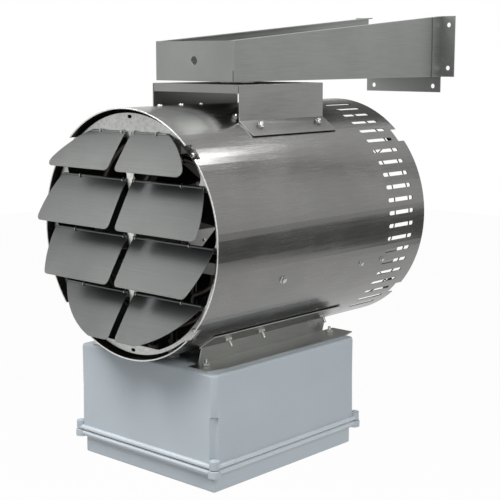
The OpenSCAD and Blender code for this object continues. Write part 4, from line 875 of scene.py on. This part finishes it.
# Cradles
# Two folded stainless sheets on which the drum lies. Studs through the drum carry their upper strips,
# and bolts up through the control box hold their feet. The sheared edges stay bright.
# Painted light: the cradles' steel is a lighter copy of the sheet steel, to lift them out of the drum's
# shade.
cradle_steel_painted_lighter = finish("cradle_steel_painted_lighter", (0.42, 0.425, 0.41), 1, 0.36, (0.0012, 0.05, 0.0012))
for node in ("cradle_right", "cradle_left"):
    fold(node, cradle_steel_painted_lighter, "brushed_steel", 0.0005)
cradle_angle, cradle_t, cradle_nut_gap = 55, 0.002, 0.00015
stud_out, stud_y = 0.01, (-0.642, -0.562, -0.402)
foot_bolt_x, foot_bolt_y = 0.112, (-0.687, -0.372)
box_top, box_wall = -0.508, 0.004
bolts, nuts = bmesh.new(), bmesh.new()
seats = [(on_drum(angle, y), sheet_t, stud_out) for y in stud_y
         for angle in (-cradle_angle, 180 + cradle_angle)]
seats += [(Matrix.Translation((x, y, box_top)), box_wall, bolt_d) for y in foot_bolt_y
          for x in (-foot_bolt_x, foot_bolt_x)]
for seat, under, end in seats:
    bolt_and_nut(bolts, nuts, seat, under, cradle_t, end, cradle_nut_gap)
fastener("cradle_bolts_worked", bolts, "cradle_bolts")
fastener("cradle_nuts_worked", nuts, "cradle_nuts")

# Control box
# A box and cover moulded in grey polycarbonate with a fine texture, a rubber gasket between them.
# Its corners are fluted for the cover screws, which come up from below into round lugs.
# Rounded lips run from lug to lug along the box's rim and the cover's, in a lighter grey as a painted
# highlight.
box_plastic = finish("box_plastic", (0.44, 0.49, 0.525), 0, 0.4, 0.0012, spread=0.03,
                     relief=0.00006)
box_x, box_y = 0.161, (-0.72, -0.36)
box_rim_z, box_rim_h = -0.6595, 0.008
cover_top_z, cover_rim_z = -0.6605, -0.67
box_edge, bead_edge, soft_edge = 0.004, 0.0016, 0.0004
top_inset, rim_outset, level_slack = 0.007, 0.003, 0.0002


def moulding(node, rounds):
    """A moulded piece: the CAD shape with rounded rims, by radius, height and inset from the side."""
    bm = cad_copy(node)
    for radius, level, inset in rounds:
        def outer(place):
            return abs(place.z - level) < level_slack and (
                abs(place.x) > box_x - inset or place.y < box_y[0] + inset or place.y > box_y[1] - inset)

        edges = [edge for edge in bm.edges if len(edge.link_faces) == 2 and edge.calc_face_angle() > 0.5
                 and all(outer(vert.co) for vert in edge.verts)]
        bmesh.ops.bevel(bm, geom=edges, offset=radius, segments=4, profile=0.5, affect="EDGES",
                        clamp_overlap=True)
    piece = settle(node + "_moulded", bm, box_plastic, body_of[node], "box_plastic", node)
    break_edges(piece, soft_edge)


moulding("box_base", [(box_edge, box_top, top_inset), (bead_edge, box_rim_z + box_rim_h, -rim_outset),
                      (bead_edge*0.7, box_rim_z, -rim_outset)])
moulding("box_cover", [(bead_edge*0.7, cover_top_z, -rim_outset), (bead_edge, cover_rim_z, -rim_outset)])

# Painted highlight: the lips are a lighter copy of the box's grey, for the light along the rims.
lip_plastic_painted_highlight = finish("lip_plastic_painted_highlight", (0.56, 0.61, 0.64), 0, 0.32, 0.004, spread=0.03)
lip_x, lip_y, lip_half = 0.1638, (box_y[0] + box_y[1])/2, 0.1828
for name, body, lip_z, lip_r in (("box_lips", "heater", box_rim_z + 0.004, 0.0042),
                                 ("cover_lips", "cover", box_rim_z - 0.0056, 0.0034)):
    bm = bmesh.new()
    for side in (-1, 1):
        rod(bm, standing((side*lip_x, lip_y, lip_z), (0, 1, 0)), lip_r, -lip_half, lip_half, 20)
        rod(bm, standing((0, lip_y + side*lip_half, lip_z), (1, 0, 0)), lip_r, -lip_x, lip_x, 20)
    settle(name, bm, lip_plastic_painted_highlight, body, "box_plastic")
dress(black_rubber, "box_gasket")
cover_screw_z, lug_top_z = -0.67215, box_rim_z + 0.0145
cover_screw = (0.004, 0.0025, 0.0019, 0.027)
plug_profile = [(0, -0.001), (0.0052, -0.001), (0.0052, 0.0006), (0.0045, 0.0014), (0.002, 0.0017),
                (0.0018, 0.0011), (0, 0.0011)]
screws, plugs = bmesh.new(), bmesh.new()
for x in (-box_x, box_x):
    for y in box_y:
        pan_head(screws, standing((x, y, cover_screw_z), (0, 0, -1)), *cover_screw)
        turned(plugs, plug_profile, standing((x, y, lug_top_z), (0, 0, 1)), 28)
fastener("cover_screws_worked", screws, "cover_screws", body="cover")
settle("box_lug_plugs", plugs, box_plastic, "heater", "box_plastic")

# Switchgear plate
# A zinc plated sheet screwed from below to four bosses under the box's top.
# Everything in the box hangs from it.
plate_z, plate_screw_down = -0.526, 0.00215
plate_screw_x, plate_screw_y = 0.118, (-0.524, -0.388)
plate_screw = (0.004, 0.0026, 0.0019, 0.0075)
fold("switch_plate", zinc, "inner_steel", 0.0003)
bm = bmesh.new()
for x in (-plate_screw_x, plate_screw_x):
    for y in plate_screw_y:
        pan_head(bm, standing((x, y, plate_z - plate_screw_down), (0, 0, -1)), *plate_screw)
fastener("plate_screws_worked", bm, "plate_screws")

# Contactors
# Two three-pole contactors in black moulded plastic, with their screw clamps on steps at both ends
# and a white armature button in the middle.
contactor_x, contactor_y = 0.0275, -0.4375
contactor_half = (0.0225, 0.038)
contactor_down, step_down = 0.072, 0.05
nose_half = (0.022, 0.0228)
button_half, button_z = (0.006, 0.009), (0.0003, 0.003)
wall_half, wall_down, pole_pitch, pole_y = (0.0008, 0.007), 0.006, 0.0144, 0.031
clamp_screw = (0.0036, 0.0024, 0.0015, 0.002)


def brick(bm, middle, half, z_low, z_high, edge):
    """A moulded or sawn block about a place, between two heights, with its edges broken."""
    size = Vector((2*half[0], 2*half[1], z_high - z_low))
    middle = (middle[0], middle[1], (z_low + z_high)/2)
    made = bmesh.ops.create_cube(bm, size=1, matrix=Matrix.Translation(middle) @ Matrix.Diagonal((*size, 1)))
    edges = list({edge for vert in made["verts"] for edge in vert.link_edges})
    bmesh.ops.bevel(bm, geom=edges, offset=edge, segments=2, profile=0.5, affect="EDGES")


clamps, buttons, bm = bmesh.new(), bmesh.new(), bmesh.new()
low_z, step_z = plate_z - contactor_down, plate_z - step_down
for x in (-contactor_x, contactor_x):
    brick(bm, (x, contactor_y), contactor_half, step_z, plate_z, 0.001)
    brick(bm, (x, contactor_y), nose_half, low_z, step_z, 0.0015)
    brick(buttons, (x, contactor_y), button_half, low_z + button_z[0], low_z + button_z[1], 0.0006)
    for y in (contactor_y - pole_y, contactor_y + pole_y):
        for pole in (-1.5, -0.5, 0.5, 1.5):
            brick(bm, (x + pole*pole_pitch, y), wall_half, step_z - wall_down, step_z, 0.0003)
        for pole in (-1, 0, 1):
            pan_head(clamps, standing((x + pole*pole_pitch, y, step_z), (0, 0, -1)), *clamp_screw)
settle("contactors_moulded", bm, phenolic, "heater", "switchgear_plastic", "contactors")
fastener("contactor_clamps", clamps)
settle("contactor_buttons", buttons, porcelain, "heater", "switchgear_plastic")

# Transformer
# A control transformer: a stack of stamped iron plates with its coil wound on a moulded bobbin.
# Four bolts clamp the stack.
core_x, core_y, core_half, core_down = 0.081, -0.456, (0.03, 0.026), 0.044
plates, plate_gap, plate_offset, plate_edge = 26, 0.0001, 0.0003, 0.0001
core_bolt_x, core_bolt_in, core_bolt_flats, core_bolt_h = 0.025, 0.005, 0.006, 0.0025
turns, coil_deep, coil_half_x, coil_offset, coil_edge = 9, 0.0105, 0.0205, 0.0002, 0.0004
coil_z = (plate_z - 0.0325, plate_z - 0.0115)
core_z = plate_z - core_down
iron, coil = bmesh.new(), bmesh.new()
for k in range(plates):
    y = core_y + core_half[1]*((2*k + 1)/plates - 1)
    inset = plate_offset*(k % 2)
    half = (core_half[0] - inset, core_half[1]/plates - plate_gap/2)
    brick(iron, (core_x, y), half, core_z + inset, plate_z, plate_edge)
for x in (-core_bolt_x, core_bolt_x):
    for z in (core_z + core_bolt_in, plate_z - core_bolt_in):
        hexagon(iron, standing((core_x + x, core_y - core_half[1], z), (0, -1, 0)), core_bolt_flats,
                core_bolt_h, 0, False)
for way in (-1, 1):
    for k in range(turns):
        grow = coil_offset*(k % 2)
        y = core_y + way*(core_half[1] + coil_deep*(k + 0.5)/turns)
        brick(coil, (core_x, y), (coil_half_x - grow, coil_deep/turns/2), coil_z[0] + grow, coil_z[1] - grow,
              coil_edge)
winding = finish("lacquered_winding", (0.32, 0.1, 0.035), 1, 0.35, (0.0008, 0.02, 0.0008), spread=0.25,
                 coat=0.4)
settle("transformer_core", iron, core_steel, "heater", "core_steel", "transformer")
settle("transformer_coil", coil, winding, "heater", "core_steel")

# Terminal block
# A barrier block for the supply wires: a moulded base with walls between six brass clamps.
# It hangs on the switchgear plate in front of the contactors.
block_y, block_half, block_down = -0.517, (0.048, 0.013), 0.015
ways, wall_half_x, walls_down, wall_sunk = 6, 0.0016, 0.03, 0.0005
brass_half, brass_down = (0.0055, 0.0105), (0.0245, 0.0148)
brass_screw_y, brass_screw = 0.006, (0.0034, 0.0022, 0.0015, 0.002)
way_pitch = 2*block_half[0]/ways
base, brass = bmesh.new(), bmesh.new()
brick(base, (0, block_y), block_half, plate_z - block_down, plate_z, 0.0008)
for k in range(ways + 1):
    end_x = block_half[0] - wall_half_x
    x = max(-end_x, min(end_x, k*way_pitch - block_half[0]))
    brick(base, (x, block_y), (wall_half_x, block_half[1]), plate_z - walls_down,
          plate_z - block_down + wall_sunk, 0.0006)
for k in range(ways):
    x = (k + 0.5)*way_pitch - block_half[0]
    brick(brass, (x, block_y), brass_half, plate_z - brass_down[0], plate_z - brass_down[1], 0.0006)
    for y in (block_y - brass_screw_y, block_y + brass_screw_y):
        pan_head(brass, standing((x, y, plate_z - brass_down[0]), (0, 0, -1)), *brass_screw)
lug_brass = finish("lug_brass", (0.5, 0.38, 0.14), 1, 0.3, 0.002, spread=0.12)
settle("terminal_block_base", base, porcelain, "heater", "switchgear_plastic", "terminal_block")
settle("terminal_block_clamps", brass, lug_brass, "heater", "lug_brass")

# Ground lug
# A sawn brass block for the earth wire, with a clamping screw from below.
# It sits on the switchgear plate beside the contactors.
lug_x, lug_y, lug_h = -0.095, -0.456, 0.016
fold("ground_lug", lug_brass, "lug_brass", 0.0008)
bm = bmesh.new()
washer_head(bm, standing((lug_x, lug_y, plate_z - lug_h), (0, 0, -1)), 0.006, 0.0035, 0.004, 0.002, 0.005)
fastener("ground_lug_screw", bm)

# Supply hub
# A threaded zinc hub for the supply conduit, held in the box's back wall by its hexagon and a locknut.
# Both are cast and left bare.
hub_middle = Vector((-0.09, -0.36, -0.57))
hub_bore_r, hub_thread_r, hub_thread_depth, hub_points = 0.0135, 0.0165, 0.0007, 29
hub_back, hub_front, hub_thread_len, hub_lead_in = -0.02, 0.025, 0.044, 0.0005
hub_flats, hub_hexagon_h, hub_ease_share = 0.042, 0.006, 1.001
hub_hexagon_at, locknut_at = 0.00515, -0.01015
hub_zinc = finish("hub_zinc", (0.36, 0.37, 0.38), 1, 0.45, 0.002, spread=0.12, relief=0.0001)
outwards = standing(hub_middle, (0, 1, 0))
thread = [(hub_thread_r - hub_thread_depth*(k % 2), hub_back + hub_lead_in + hub_thread_len*k/hub_points)
          for k in range(hub_points + 1)]
profile = [(hub_bore_r, hub_back)] + thread + [(hub_bore_r, hub_front), (hub_bore_r, hub_back)]
hub_hole = 2*hub_thread_r*hub_ease_share
bm = bmesh.new()
turned(bm, profile, outwards, 64)
hexagon(bm, raised(outwards, hub_hexagon_at), hub_flats, hub_hexagon_h, hub_hole, segments=72)
settle("supply_hub_worked", bm, hub_zinc, "heater", "hub_metal", "supply_hub")
bm = bmesh.new()
hexagon(bm, raised(outwards, locknut_at), hub_flats, hub_hexagon_h, hub_hole, segments=72)
settle("hub_locknut_worked", bm, hub_zinc, "heater", "hub_metal", "hub_locknut")
